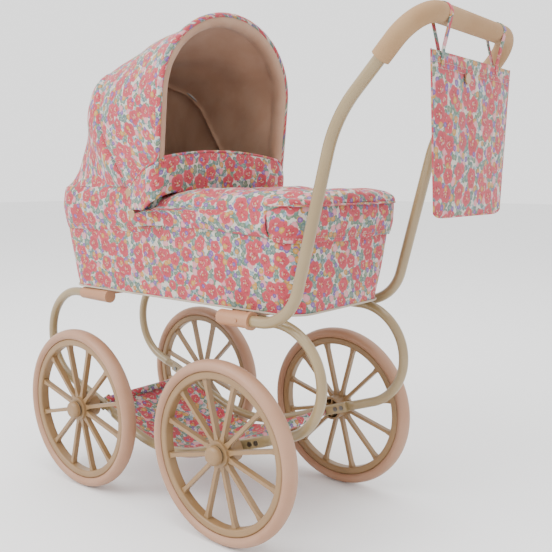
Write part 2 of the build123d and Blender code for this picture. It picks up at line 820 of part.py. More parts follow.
def bag_loops():
    """Two cloth loops round the grip, sewn to the bag's top."""
    drop = handle_bar[1] - bag_top
    inner_radius = grip_diameter / 2 + bag_loop_gap
    loops = []
    for x in bag_loop_places:
        outer = make_hull((Circle(inner_radius + bag_loop_cloth) + Pos(0, -drop + 3) * Circle(3)).edges())
        inner = make_hull((Circle(inner_radius) + Pos(0, -drop + 4.4) * Circle(2)).edges())
        plane = Plane((x + bag_loop_width / 2, *handle_bar), x_dir=(0, 1, 0), z_dir=(1, 0, 0))
        loops.append(extrude(plane * (outer - inner), -bag_loop_width))
    return Compound(children=loops)


def bag_stud():
    x, z = bag_stud_place
    face = handle_bar[0] + bag_thickness / 2
    return rod((x, face, z), (x, face + stud_height, z), stud_diameter)


# ---------------------------------------------------------------- all the pieces

nodes = {
    "front_axle": axle(-half_base),
    "rear_axle": axle(half_base),
    "frame_rivets": frame_rivets(),
    "front_crossbar": crossbar(front_crossbar_y),
    "rear_crossbar": crossbar(rear_crossbar_y),
    "handle_tube": handle_tube(),
    "handle_grip": handle_grip(),
    "cot_floor": cot_floor(),
    "cot_walls": cot_walls(),
    "cot_cover": cot_cover(),
    "cot_lining": cot_lining(),
    "cot_piping": cot_piping(),
    "mattress": mattress(),
    "apron": apron(),
    "hood_skirt": hood_skirt(),
    "cot_studs": cot_studs(),
    "hood_pivot_pins": hood_pivot_pins(),
    "front_hood_bow": front_bow(),
    "rear_hood_bow": rear_bow(),
    "hood_canopy": hood_canopy(),
    "hood_lining": hood_lining(),
    "draft_flap": draft_flap(),
    "storage_basket": basket(),
    "basket_studs": basket_studs(),
    "bag": bag(),
    "bag_loops": bag_loops(),
    "bag_stud": bag_stud(),
}

one_side = {
    "lower_rail": lower_rail(),
    "front_spring": spring(-1, front_spring_radius, front_tube_end),
    "rear_spring": spring(1, rear_spring_radius, rear_tube_end),
    "front_fitting": front_fitting(),
    "rear_fitting": rear_fitting(),
    "handle_button": handle_button(),
    "hood_bracket": hood_bracket(),
}
for name, part in one_side.items():
    nodes["left_" + name] = part
    nodes["right_" + name] = mirrored(part)

wheel_set = {
    "tyre": Pos(wheel_plane, 0, 0) * tyre(),
    "wheel": Pos(wheel_plane, 0, 0) * wheel_moulding(),
    "retaining_ring": retaining_ring(),
    "hub_cap": hub_cap(),
}
for name, part in wheel_set.items():
    for end, place in (("front", -half_base), ("rear", half_base)):
        left = Pos(0, place, axle_height) * part
        nodes["left_" + end + "_" + name] = left
        nodes["right_" + end + "_" + name] = mirrored(left)

boxes = [part.bounding_box() for part in nodes.values()]
origin_shift = -(min(box.min.Y for box in boxes) + max(box.max.Y for box in boxes)) / 2

for name, part in nodes.items():
    export_step(Pos(0, origin_shift, 0) * part, "parts/" + name + ".step")
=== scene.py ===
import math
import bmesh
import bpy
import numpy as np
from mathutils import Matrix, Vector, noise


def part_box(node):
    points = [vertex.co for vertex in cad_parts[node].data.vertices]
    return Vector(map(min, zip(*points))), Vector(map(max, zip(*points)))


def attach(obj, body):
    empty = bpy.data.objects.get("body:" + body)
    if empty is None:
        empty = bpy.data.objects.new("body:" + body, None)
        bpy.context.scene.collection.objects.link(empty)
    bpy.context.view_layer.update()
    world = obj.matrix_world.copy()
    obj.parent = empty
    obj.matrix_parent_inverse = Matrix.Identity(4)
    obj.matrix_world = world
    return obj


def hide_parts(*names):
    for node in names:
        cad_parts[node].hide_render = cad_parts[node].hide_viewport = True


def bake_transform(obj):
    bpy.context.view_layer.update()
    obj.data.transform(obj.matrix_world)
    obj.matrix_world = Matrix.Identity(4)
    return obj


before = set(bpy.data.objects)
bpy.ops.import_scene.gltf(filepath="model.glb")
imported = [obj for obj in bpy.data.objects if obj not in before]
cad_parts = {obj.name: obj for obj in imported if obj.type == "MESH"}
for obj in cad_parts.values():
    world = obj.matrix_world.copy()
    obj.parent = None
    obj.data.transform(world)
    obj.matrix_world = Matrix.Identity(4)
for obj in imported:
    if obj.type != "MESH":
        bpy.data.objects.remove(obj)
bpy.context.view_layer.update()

# %% [markdown]
# A doll's pram. The tubes, wheels, sockets and bows come from the frame as they are and only get
# their finishes. All that is cloth is made here: the carrycot's cover, the hood, the apron, the
# flap, the basket and the bag. Everything is in metres, and a small helper turns the pram's own
# millimetres, measured from midway between the axles, into places in the frame.

mm = 0.001
axle_boxes = [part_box("front_axle"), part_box("rear_axle")]
base_y = sum(low[1] + high[1] for low, high in axle_boxes) / 4


def at(x, y, z):
    """A place given in the pram's millimetres."""
    return np.array((x * mm, base_y + y * mm, z * mm))


def box_mm(node):
    """A frame piece's lowest and highest corners, in millimetres."""
    return [np.array(corner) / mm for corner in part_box(node)]


COVER_PAST_FLOOR = 1.2
cover_low, cover_high = box_mm("cot_cover")
floor_high = box_mm("cot_floor")[1]
rim = cover_high[2]
bottom = cover_low[2]
rim_half = cover_high[0]
rim_front = cover_low[1] - base_y / mm
rim_rear = cover_high[1] - base_y / mm
floor_half = floor_high[0] + COVER_PAST_FLOOR
flare = rim_half - floor_half
print(f"carrycot {2 * rim_half:.0f} mm wide at the rim, {bottom:.0f} to {rim:.0f} mm above the floor")

# %% [markdown]
# Cloth pieces are grids of points. A grid keeps its own map of the cloth in metres, measured along
# the threads, so a print keeps its true size however the cloth is bent. Each grid is turned so that
# its faces point away from a chosen inner point, and is given its thickness by a modifier.

# %% Grid helpers
def lengths(points):
    """How far along a line each of its points is, from 0 at the first."""
    steps = np.linalg.norm(np.diff(points, axis=0), axis=-1)
    return np.concatenate([[0], np.cumsum(steps)])


def resample(points, count):
    """The same line with evenly spaced points."""
    points = np.asarray(points, float)
    along = lengths(points)
    wanted = np.linspace(0, along[-1], count)
    return np.stack([np.interp(wanted, along, points[:, k]) for k in range(3)], -1)


def smooth_line(points, count):
    """A smooth curve through a few points, as evenly spaced points."""
    points = np.asarray(points, float)
    padded = np.vstack([2 * points[0] - points[1], points, 2 * points[-1] - points[-2]])
    dense = []
    for a, b, c, d in zip(padded[:-3], padded[1:-2], padded[2:-1], padded[3:]):
        for t in np.linspace(0, 1, 16, endpoint=False):
            dense.append(0.5 * ((2 * b) + (c - a) * t + (2 * a - 5 * b + 4 * c - d) * t ** 2
                                + (3 * b - a - 3 * c + d) * t ** 3))
    return resample(dense + [points[-1]], count)


def grid_normals(grid):
    """The way that the cloth faces at each point of a grid."""
    down = np.gradient(grid, axis=0)
    over = np.gradient(grid, axis=1)
    normal = np.cross(over, down)
    return normal / np.maximum(np.linalg.norm(normal, axis=-1, keepdims=True), 1e-9)


def rumple(grid, amount, size, seed, weight=1.0):
    """Push a grid in and out a little, in soft dents of one size."""
    normal = grid_normals(grid)
    offset = Vector((seed * 7.3, seed * 1.7, seed * 3.1))
    push = np.array([[noise.noise(Vector(p) / size + offset) for p in row] for row in grid])
    return grid + normal * (push * amount * weight)[..., None]


def add_mesh(name, points, faces, uvs=None):
    """A mesh object from its points and faces, with a cloth map if uvs are given."""
    mesh = bpy.data.meshes.new(name)
    mesh.from_pydata([tuple(p) for p in points], [], faces)
    if uvs is not None:
        layer = mesh.uv_layers.new(name="cloth")
        for loop in mesh.loops:
            layer.data[loop.index].uv = uvs[loop.vertex_index]
    piece = bpy.data.objects.new(name, mesh)
    bpy.context.scene.collection.objects.link(piece)
    return piece


def grid_faces(rows, columns):
    """The four-cornered faces between the points of a grid, row by row."""
    corners = [i * columns + j for i in range(rows - 1) for j in range(columns - 1)]
    return [(c, c + 1, c + columns + 1, c + columns) for c in corners]


def turn_outward(piece, inside):
    """Turn a mesh over if its faces point toward the place inside it."""
    facing = sum((face.center - Vector(inside)).dot(face.normal) * face.area
                 for face in piece.data.polygons)
    if facing < 0:
        piece.data.flip_normals()


def dress(piece, material):
    """Give a mesh its finish and smooth shading."""
    piece.data.materials.append(material)
    for face in piece.data.polygons:
        face.use_smooth = True


def thicken(piece, thickness, levels):
    """Give a cloth its thickness in mm, on the inner side, and round it off."""
    if thickness:
        wall = piece.modifiers.new("thickness", "SOLIDIFY")
        wall.thickness = thickness * mm
        wall.offset = -1.0
    if levels:
        rounding = piece.modifiers.new("round", "SUBSURF")
        rounding.levels = rounding.render_levels = levels


def cloth(name, grid, inside, material, thickness=1.2, levels=1, shift=(0.0, 0.0), datum=0,
          even=False):
    """A cloth piece from a grid of points. inside is a point that its faces turn away from, and
    datum is the row that the cloth map is measured from. even gives every row the same width."""
    rows, columns = grid.shape[:2]
    middle = columns // 2
    across = np.array([lengths(row) for row in grid])
    if even:
        across *= across[:, -1].mean() / across[:, -1:]
    across -= across[:, middle:middle + 1]
    down = np.array([lengths(grid[:, j]) for j in range(columns)]).T
    down -= down[datum:datum + 1]
    uvs = [(across[i, j] + shift[0], shift[1] - down[i, j])
           for i in range(rows) for j in range(columns)]
    faces = grid_faces(rows, columns)
    piece = add_mesh(name, grid.reshape(-1, 3), faces, uvs)
    turn_outward(piece, inside)
    piece["cloth_area"] = sum(face.area for face in piece.data.polygons)
    piece["cloth_size"] = [float(across.max() - across.min()), float((down[-1] - down[0]).max())]
    dress(piece, material)
    thicken(piece, thickness, levels)
    print(f"{name}: {len(faces)} faces, {piece['cloth_area'] * 1e4:.0f} square cm of cloth")
    return piece


# %% [markdown]
# Small helpers build shader trees. A node group made with them has named inputs and outputs, and is
# placed in each finish that needs it with its own values.

# %% Shader helpers
def value_into(tree, socket, value):
    """Link another node's output into a socket, or set the socket to a number or colour."""
    if isinstance(value, bpy.types.NodeSocket):
        tree.links.new(value, socket)
    elif value is not None:
        socket.default_value = value


def calculate(tree, operation, *values):
    made = tree.nodes.new("ShaderNodeMath")
    made.operation = operation
    for socket, value in zip(made.inputs, values):
        value_into(tree, socket, value)
    return made.outputs[0]


def times(tree, first, second):
    return calculate(tree, "MULTIPLY", first, second)


def plus(tree, first, second):
    return calculate(tree, "ADD", first, second)


def vector_math(tree, operation, *values):
    made = tree.nodes.new("ShaderNodeVectorMath")
    made.operation = operation
    for socket, value in zip(made.inputs, values):
        value_into(tree, socket, value)
    return made.outputs["Value"] if operation == "LENGTH" else made.outputs[0]


def mixed(tree, factor, first, second):
    made = tree.nodes.new("ShaderNodeMix")
    made.data_type = "RGBA"
    value_into(tree, made.inputs[0], factor)
    value_into(tree, made.inputs[6], first)
    value_into(tree, made.inputs[7], second)
    return made.outputs[2]


def step_between(tree, value, low, high):
    """0 below low and 1 above high, or the other way round when low is the larger."""
    made = tree.nodes.new("ShaderNodeMapRange")
    made.interpolation_type = "SMOOTHSTEP"
    value_into(tree, made.inputs["Value"], value)
    falling = low > high
    made.inputs["From Min"].default_value = min(low, high)
    made.inputs["From Max"].default_value = max(low, high)
    made.inputs["To Min"].default_value = 1.0 if falling else 0.0
    made.inputs["To Max"].default_value = 0.0 if falling else 1.0
    return made.outputs["Result"]


def new_group(name, inputs, outputs):
    """A shader node group with named sockets. Returns the tree and its two end nodes."""
    tree = bpy.data.node_groups.new(name, "ShaderNodeTree")
    for label, kind, default in inputs:
        socket = tree.interface.new_socket(label, in_out="INPUT", socket_type=kind)
        if default is not None:
            socket.default_value = default
    for label, kind in outputs:
        tree.interface.new_socket(label, in_out="OUTPUT", socket_type=kind)
    return tree, tree.nodes.new("NodeGroupInput"), tree.nodes.new("NodeGroupOutput")


def place_group(tree, group, **values):
    made = tree.nodes.new("ShaderNodeGroup")
    made.node_tree = group
    for label, value in values.items():
        value_into(tree, made.inputs[label.replace("_", " ")], value)
    return made


def add_noise(tree, vector, scale, detail=2.0):
    """A noise texture. scale is a number or another node's output."""
    made = tree.nodes.new("ShaderNodeTexNoise")
    made.inputs["Detail"].default_value = detail
    value_into(tree, made.inputs["Scale"], scale)
    tree.links.new(vector, made.inputs["Vector"])
    return made


def add_bump(tree, shader, height, strength, distance):
    """Raise the surface by a height pattern. distance is in metres."""
    bump = tree.nodes.new("ShaderNodeBump")
    bump.inputs["Strength"].default_value = strength
    bump.inputs["Distance"].default_value = distance
    tree.links.new(height, bump.inputs["Height"])
    tree.links.new(bump.outputs[0], shader.inputs["Normal"])


def new_finish(name):
    material = bpy.data.materials.new(name)
    material.use_nodes = True
    tree = material.node_tree
    shader = tree.nodes["Principled BSDF"]
    return material, tree, shader


SWATCH_DEPTH = 1.5
SWATCH_SHARE = 0.47
BRIGHTEST = 0.9


def srgb(red, green, blue):
    """A swatch's colour, 0 to 255, turned linear. It is deepened and darkened, because the studio is
    bright enough to turn its floor nearly white."""
    channels = [c / 255 for c in (red, green, blue)]
    linear = [c / 12.92 if c <= 0.04045 else ((c + 0.055) / 1.055) ** 2.4 for c in channels]
    grey = 0.2126 * linear[0] + 0.7152 * linear[1] + 0.0722 * linear[2]
    deep = [SWATCH_SHARE * grey * (c / grey) ** SWATCH_DEPTH for c in linear]
    return tuple(min(BRIGHTEST, c) for c in deep) + (1.0,)


# %% [markdown]
# The print is flowers scattered on cream cotton. One group draws one kind of motif: it scatters
# points, and round each point it draws a shape with a number of lobes, turned at random. Flowers
# have five deep lobes, leaves two, and berries three so shallow that they look round. The finish
# stacks several of them at their real sizes.

# %% Motif group
def build_motif():
    tree, given, result = new_group(
        "printed motif",
        [("Vector", "NodeSocketVector", None), ("Cell", "NodeSocketFloat", 0.02),
         ("Radius", "NodeSocketFloat", 0.01), ("Lobes", "NodeSocketFloat", 5.0),
         ("Depth", "NodeSocketFloat", 0.25), ("Seed", "NodeSocketFloat", 0.0),
         ("Scatter", "NodeSocketFloat", 0.7)],
        [("Mask", "NodeSocketFloat"), ("Edge", "NodeSocketFloat"), ("Lobe", "NodeSocketFloat"),
         ("Random", "NodeSocketFloat"), ("Second Random", "NodeSocketFloat")],
    )
    sockets = given.outputs
    density = calculate(tree, "DIVIDE", 1.0, sockets["Cell"])
    scale = tree.nodes.new("ShaderNodeVectorMath")
    scale.operation = "SCALE"
    tree.links.new(sockets["Vector"], scale.inputs[0])
    tree.links.new(density, scale.inputs["Scale"])
    shift = tree.nodes.new("ShaderNodeCombineXYZ")
    tree.links.new(sockets["Seed"], shift.inputs["X"])
    tree.links.new(sockets["Seed"], shift.inputs["Y"])
    placed = vector_math(tree, "ADD", scale.outputs[0], shift.outputs[0])
    scatter = tree.nodes.new("ShaderNodeTexVoronoi")
    scatter.voronoi_dimensions = "2D"
    scatter.inputs["Scale"].default_value = 1.0
    tree.links.new(placed, scatter.inputs["Vector"])
    tree.links.new(sockets["Scatter"], scatter.inputs["Randomness"])
    local = vector_math(tree, "SUBTRACT", placed, scatter.outputs["Position"])
    parts = tree.nodes.new("ShaderNodeSeparateXYZ")
    tree.links.new(local, parts.inputs[0])
    chance = tree.nodes.new("ShaderNodeSeparateColor")
    tree.links.new(scatter.outputs["Color"], chance.inputs[0])
    flat = tree.nodes.new("ShaderNodeCombineXYZ")
    tree.links.new(parts.outputs["X"], flat.inputs["X"])
    tree.links.new(parts.outputs["Y"], flat.inputs["Y"])
    distance = times(tree, vector_math(tree, "LENGTH", flat.outputs[0]), sockets["Cell"])
    angle = calculate(tree, "ARCTAN2", parts.outputs["Y"], parts.outputs["X"])
    angle = plus(tree, angle, times(tree, chance.outputs[0], 2 * math.pi))
    half_lobes = times(tree, sockets["Lobes"], 0.5)
    wave = calculate(tree, "COSINE", times(tree, angle, half_lobes))
    lobe = calculate(tree, "ABSOLUTE", wave)
    reach = plus(tree, calculate(tree, "SUBTRACT", 1.0, sockets["Depth"]),
                      times(tree, lobe, sockets["Depth"]))
    swell = plus(tree, 0.85, times(tree, chance.outputs[1], 0.25))
    reach = times(tree, times(tree, reach, sockets["Radius"]), swell)
    edge = calculate(tree, "DIVIDE", distance, reach)
    tree.links.new(step_between(tree, edge, 1.0, 0.9), result.inputs["Mask"])
    tree.links.new(edge, result.inputs["Edge"])
    tree.links.new(lobe, result.inputs["Lobe"])
    tree.links.new(chance.outputs[1], result.inputs["Random"])
    tree.links.new(chance.outputs[2], result.inputs["Second Random"])
    return tree


motif = build_motif()
print("motif group has", len(motif.nodes), "nodes")


# %% Weave group
def build_weave():
    tree, given, result = new_group(
        "cotton weave",
        [("Vector", "NodeSocketVector", None), ("Thread", "NodeSocketFloat", 0.0006)],
        [("Height", "NodeSocketFloat"), ("Shade", "NodeSocketFloat")],
    )
    parts = tree.nodes.new("ShaderNodeSeparateXYZ")
    tree.links.new(given.outputs["Vector"], parts.inputs[0])
    threads = []
    for axis in ("X", "Y"):
        count = calculate(tree, "DIVIDE", parts.outputs[axis], given.outputs["Thread"])
        turn = times(tree, count, math.pi)
        threads.append(calculate(tree, "ABSOLUTE", calculate(tree, "SINE", turn)))
    slub = add_noise(tree, given.outputs["Vector"], 260.0, 3.0)
    woven = times(tree, threads[0], threads[1])
    height = plus(tree, times(tree, woven, 0.5), slub.outputs[0])
    tree.links.new(height, result.inputs["Height"])
    tree.links.new(slub.outputs[0], result.inputs["Shade"])
    return tree


weave = build_weave()
print("weave group has", len(weave.nodes), "nodes")

# %% [markdown]
# The printed cotton stacks the motifs on cream: pale blue sprigs and sage leaves, then thin stems,
# berries and pink buds, then two sets of coral flowers, and last a few berries on top. Each flower
# has a pale eye, red strokes on its petals, white flecks and darker lines between petals.

# %% Printed cotton
CREAM = srgb(255, 248, 238)


def flower(tree, below, vector, cell, radius, seed):
    """Coral flowers over what is below them."""
    made = place_group(tree, motif, Vector=vector, Cell=cell, Radius=radius, Lobes=5.0, Depth=0.19,
                       Seed=seed)
    out = made.outputs
    petal = mixed(tree, out["Random"], srgb(192, 74, 96), srgb(172, 58, 82))
    soft = step_between(tree, out["Edge"], 0.55, 1.0)
    petal = mixed(tree, times(tree, soft, 0.35), petal, srgb(206, 100, 116))
    between = times(tree, step_between(tree, out["Lobe"], 0.30, 0.05),
                    step_between(tree, out["Edge"], 0.3, 0.5))
    petal = mixed(tree, times(tree, between, 0.6), petal, srgb(136, 34, 54))
    ring = times(tree, step_between(tree, out["Edge"], 0.18, 0.26),
                 step_between(tree, out["Edge"], 0.52, 0.42))
    stroke = times(tree, ring, step_between(tree, out["Lobe"], 0.55, 0.85))
    lit = step_between(tree, add_noise(tree, vector, 230.0).outputs[0], 0.52, 0.58)
    petal = mixed(tree, times(tree, stroke, 0.9), petal, srgb(140, 20, 42))
    flecks = times(tree, times(tree, ring, lit), 0.65)
    petal = mixed(tree, flecks, petal, srgb(250, 232, 222))
    petal = mixed(tree, step_between(tree, out["Edge"], 0.15, 0.08), petal, srgb(236, 214, 150))
    return mixed(tree, out["Mask"], below, petal)


def scattered(tree, below, vector, colour, other, cell, radius, lobes, depth, seed, share):
    """One small motif over what is below it, in two mixed colours. share of its cells have one."""
    made = place_group(tree, motif, Vector=vector, Cell=cell, Radius=radius, Lobes=lobes,
                       Depth=depth, Seed=seed)
    tint = mixed(tree, made.outputs["Random"], srgb(*colour), srgb(*other))
    inner = step_between(tree, made.outputs["Edge"], 0.75, 0.2)
    tint = mixed(tree, times(tree, inner, 0.25), tint, CREAM)
    chosen = step_between(tree, made.outputs["Second Random"], share + 0.01, share - 0.01)
    return mixed(tree, times(tree, made.outputs["Mask"], chosen), below, tint)


# A row for each small motif: its two colours, then its cell and radius in metres, its lobes, their
# depth, its seed, and the share of the cells that have one.
SPRIGS_AND_LEAVES = [
    ((132, 170, 190), (158, 188, 196), 0.0115, 0.0044, 4.0, 0.5, 3.1, 1.0),
    ((98, 132, 114), (122, 148, 120), 0.0125, 0.0060, 2.0, 0.62, 8.4, 1.0),
    ((92, 128, 128), (118, 148, 138), 0.0165, 0.0066, 2.0, 0.62, 21.7, 1.0),
]
BERRIES_AND_BUDS = [
    ((206, 152, 40), (220, 172, 66), 0.0185, 0.0044, 3.0, 0.08, 14.2, 0.85),
    ((108, 62, 140), (128, 82, 156), 0.0205, 0.0038, 3.0, 0.1, 31.9, 0.9),
    ((240, 166, 180), (246, 190, 196), 0.0205, 0.0056, 3.0, 0.22, 44.3, 0.8),
]
TOP_BERRIES = [
    ((206, 160, 40), (220, 178, 70), 0.0282, 0.0040, 3.0, 0.08, 71.4, 0.7),
    ((98, 56, 132), (118, 76, 150), 0.0318, 0.0034, 3.0, 0.1, 82.8, 0.8),
]
PRINT_THREAD = 0.0006


def printed_cotton(name, turn=0.0):
    """The flower print, on the piece's own cloth map. turn lays it at an angle, in radians."""
    material, tree, shader = new_finish(name)
    threads = tree.nodes.new("ShaderNodeUVMap")
    threads.uv_map = "cloth"
    mapping = tree.nodes.new("ShaderNodeMapping")
    mapping.inputs["Rotation"].default_value = (0, 0, turn)
    tree.links.new(threads.outputs[0], mapping.inputs[0])
    vector = mapping.outputs[0]
    colour = CREAM
    for row in SPRIGS_AND_LEAVES:
        colour = scattered(tree, colour, vector, *row)
    stems = tree.nodes.new("ShaderNodeTexVoronoi")
    stems.voronoi_dimensions = "2D"
    stems.feature = "DISTANCE_TO_EDGE"
    stems.inputs["Scale"].default_value = 72.0
    tree.links.new(vector, stems.inputs["Vector"])
    thin = times(tree, step_between(tree, stems.outputs["Distance"], 0.035, 0.015), 0.55)
    colour = mixed(tree, thin, colour, srgb(120, 128, 108))
    for row in BERRIES_AND_BUDS:
        colour = scattered(tree, colour, vector, *row)
    colour = flower(tree, colour, vector, 0.0350, 0.0090, 5.6)
    colour = flower(tree, colour, vector, 0.0272, 0.0116, 57.1)
    for row in TOP_BERRIES:
        colour = scattered(tree, colour, vector, *row)
    cotton = place_group(tree, weave, Vector=vector, Thread=PRINT_THREAD)
    shade = times(tree, cotton.outputs["Shade"], 0.16)
    colour = mixed(tree, shade, colour, srgb(206, 196, 186))
    tree.links.new(colour, shader.inputs["Base Color"])
    rough = plus(tree, 0.78, times(tree, cotton.outputs["Shade"], 0.12))
    tree.links.new(rough, shader.inputs["Roughness"])
    shader.inputs["Sheen Weight"].default_value = 0.12
    shader.inputs["Sheen Roughness"].default_value = 0.5
    add_bump(tree, shader, cotton.outputs["Height"], 0.18, 0.0004)
    print(f"{name}: {len(tree.nodes)} nodes")
    return material


print_cloth = printed_cotton("flower print cotton")
print_turned = printed_cotton("flower print cotton, turned", turn=0.9)

# %% [markdown]
# Plain cloth is the tan lining, the cream piping and the sewing thread. It has the same weave as
# the print, with slow changes of shade where it has been handled.

# %% Plain cloths
def plain_cloth(name, light, dark, thread=0.0007, strength=0.3):
    material, tree, shader = new_finish(name)
    threads = tree.nodes.new("ShaderNodeUVMap")
    threads.uv_map = "cloth"
    cotton = place_group(tree, weave, Vector=threads.outputs[0], Thread=thread)
    clouds = add_noise(tree, threads.outputs[0], 24.0, 4.0)
    tint = mixed(tree, step_between(tree, clouds.outputs[0], 0.35, 0.65), light, dark)
    tree.links.new(mixed(tree, times(tree, cotton.outputs["Shade"], 0.25), tint, dark),
                   shader.inputs["Base Color"])
    tree.links.new(plus(tree, 0.74, times(tree, cotton.outputs["Shade"], 0.16)),
                   shader.inputs["Roughness"])
    shader.inputs["Sheen Weight"].default_value = 0.15
    add_bump(tree, shader, cotton.outputs["Height"], strength, 0.0005)
    return material


lining_cloth = plain_cloth("tan lining cotton", srgb(218, 190, 168), srgb(206, 176, 153))
cream_cloth = plain_cloth("cream piping", srgb(236, 226, 210), srgb(222, 208, 190))
thread_finish = plain_cloth("sewing thread", srgb(238, 224, 214), srgb(226, 206, 198))

# %% [markdown]
# Hard finishes share one group that gives slow mottling, fine grain and small scuffs, so that
# paint, plastic and rubber each keep their own values but none is a flat colour.

# %% Hard finishes
def build_grain():
    tree, given, result = new_group(
        "surface grain",
        [("Vector", "NodeSocketVector", None), ("Grain", "NodeSocketFloat", 900.0),
         ("Mottle", "NodeSocketFloat", 18.0)],
        [("Fine", "NodeSocketFloat"), ("Slow", "NodeSocketFloat"), ("Scuff", "NodeSocketFloat")],
    )
    for label, size, detail in (("Fine", "Grain", 2.0), ("Slow", "Mottle", 4.0)):
        made = add_noise(tree, given.outputs["Vector"], given.outputs[size], detail)
        tree.links.new(made.outputs[0], result.inputs[label])
    scratch = add_noise(tree, given.outputs["Vector"], 140.0, 6.0)
    scratch.inputs["Distortion"].default_value = 1.2
    tree.links.new(step_between(tree, scratch.outputs[0], 0.66, 0.74), result.inputs["Scuff"])
    return tree


grain = build_grain()


def hard_finish(name, light, dark, roughness, metallic=0.0, coat=0.0, bump_strength=0.08,
                size=900.0, scuffed=0.12):
    """Paint, plastic, rubber, foam, metal or board, from its light and dark shades."""
    material, tree, shader = new_finish(name)
    place = tree.nodes.new("ShaderNodeTexCoord")
    made = place_group(tree, grain, Vector=place.outputs["Object"], Grain=size)
    tint = mixed(tree, step_between(tree, made.outputs["Slow"], 0.3, 0.7), light, dark)
    tint = mixed(tree, times(tree, made.outputs["Scuff"], scuffed), tint, srgb(236, 226, 212))
    tree.links.new(tint, shader.inputs["Base Color"])
    rough = plus(tree, roughness - 0.05, times(tree, made.outputs["Slow"], 0.1))
    rough = plus(tree, rough, times(tree, made.outputs["Scuff"], 0.12))
    tree.links.new(rough, shader.inputs["Roughness"])
    shader.inputs["Metallic"].default_value = metallic
    shader.inputs["Coat Weight"].default_value = coat
    shader.inputs["Coat Roughness"].default_value = 0.12
    add_bump(tree, shader, made.outputs["Fine"], bump_strength, 0.0003)
    return material


tube_paint = hard_finish("khaki tube paint", srgb(192, 175, 142), srgb(182, 164, 130), 0.34, coat=0.35)
fitting_plastic = hard_finish("peach moulded plastic", srgb(214, 174, 142), srgb(206, 164, 132), 0.46)
wheel_plastic = hard_finish("olive tan wheel plastic", srgb(182, 156, 122), srgb(172, 146, 112), 0.42)
tyre_rubber = hard_finish("pink beige tyre rubber", srgb(210, 176, 152), srgb(202, 166, 140), 0.48,
                          bump_strength=0.15)
grip_foam = hard_finish("tan grip foam", srgb(208, 180, 146), srgb(196, 166, 132), 0.86,
                        bump_strength=0.7, size=1500.0)
bright_metal = hard_finish("bright ring metal", srgb(214, 214, 212), srgb(200, 200, 200), 0.16, metallic=1.0)
plain_steel = hard_finish("plain steel", srgb(176, 176, 174), srgb(160, 160, 158), 0.34, metallic=1.0)
stud_metal = hard_finish("pale gold stud", srgb(232, 206, 170), srgb(222, 194, 158), 0.3,
                         metallic=0.55, coat=0.3)
board = hard_finish("fibre board", srgb(176, 148, 116), srgb(160, 132, 100), 0.8, bump_strength=0.4)

# %% Finishes on the frame's own pieces
by_ending = [
    ("tyre", tyre_rubber), ("_wheel", wheel_plastic), ("hub_cap", wheel_plastic),
    ("retaining_ring", bright_metal), ("fitting", fitting_plastic), ("crossbar", fitting_plastic),
    ("button", fitting_plastic), ("rail", tube_paint), ("spring", tube_paint),
    ("handle_tube", tube_paint), ("handle_grip", grip_foam), ("axle", plain_steel),
    ("rivets", plain_steel), ("pins", plain_steel), ("bow", plain_steel), ("bracket", plain_steel),
    ("studs", stud_metal), ("stud", stud_metal), ("cot_floor", board), ("cot_walls", board),
    ("cloth", print_cloth), ("lining", lining_cloth), ("mattress", lining_cloth),
]
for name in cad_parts:
    node_object = bpy.data.objects.get(name)
    finish = next((material for ending, material in by_ending if name.endswith(ending)), None)
    if node_object is not None and finish is not None:
        node_object.data.materials.clear()
        node_object.data.materials.append(finish)
print("finishes given to", len(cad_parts), "frame pieces")

# %% [markdown]
# The carrycot's outline at any height is a rectangle with round corners that leans outward as it
# rises. Half of it, from the split between hood and apron round one end, is what the cover, skirt
# and apron band are all drawn from.

# %% Carrycot outline
SPLIT = 25.0
HEAD_CORNER = 46.0
FOOT_CORNER = 33.0
floor_front = rim_front + 12.0
floor_rear = rim_rear - 16.0


def half_outline(end, z, grow, count, start=SPLIT, rounder=0.0):
    """Points round one end of the carrycot at height z, from the left side to the right. end is -1
    for the head end and 1 for the foot end. grow moves them outward, start is where along the
    pram they begin, and rounder adds to the radius of the head end's corners, all in mm."""
    rise = (z - bottom) / (rim - bottom)
    half = floor_half + rise * flare + grow
    if end < 0:
        tip = floor_front + rise * (rim_front - floor_front) - grow
        corner = HEAD_CORNER + grow + rounder
    else:
        tip = floor_rear + rise * (rim_rear - floor_rear) + grow
        corner = FOOT_CORNER + grow
    side = [(half, start)]
    for angle in np.linspace(0, math.pi / 2, 13):
        side.append((half - corner + corner * math.cos(angle),
                     tip - end * corner + end * corner * math.sin(angle)))
    points = side + [(-x, y) for x, y in reversed(side)]
    return resample([at(x, y, z) for x, y in points], count)


def ends_joined(z, grow, count):
    """The whole outline at height z. It begins and ends on the right side."""
    head = half_outline(-1, z, grow, count)
    foot = half_outline(1, z, grow, count)
    return np.vstack([foot[::-1], head[1:]])


# %% [markdown]
# The cover is stretched over stiff board, so it is a smooth leaning wall with only faint dents, and
# a thin cream piping runs round its bottom edge.

# %% Cover, lining and piping
cot_middle = at(0, 10, 390)
cover_levels = np.linspace(rim + 1.5, bottom + 0.6, 22)
cover_grid = np.array([ends_joined(z, 0.4 + 1.6 * math.sin(math.pi * i / 21), 64)
                       for i, z in enumerate(cover_levels)])
cover_grid = rumple(cover_grid, 1.1 * mm, 0.055, 2)
cover_grid[:, -1] = cover_grid[:, 0]
cot_cover = cloth("cover", cover_grid, cot_middle, print_cloth, thickness=1.0)
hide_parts("cot_cover")
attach(cot_cover, "chassis")

inner_grid = np.array([ends_joined(z, -6.4, 60) for z in np.linspace(rim + 1.0, bottom + 6.0, 12)])
inner_grid = rumple(inner_grid, 0.8 * mm, 0.04, 5)
inner_grid[:, -1] = inner_grid[:, 0]
inner_lining = cloth("inner_lining", inner_grid, cot_middle, lining_cloth, thickness=0.8)
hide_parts("cot_lining")
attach(inner_lining, "chassis")


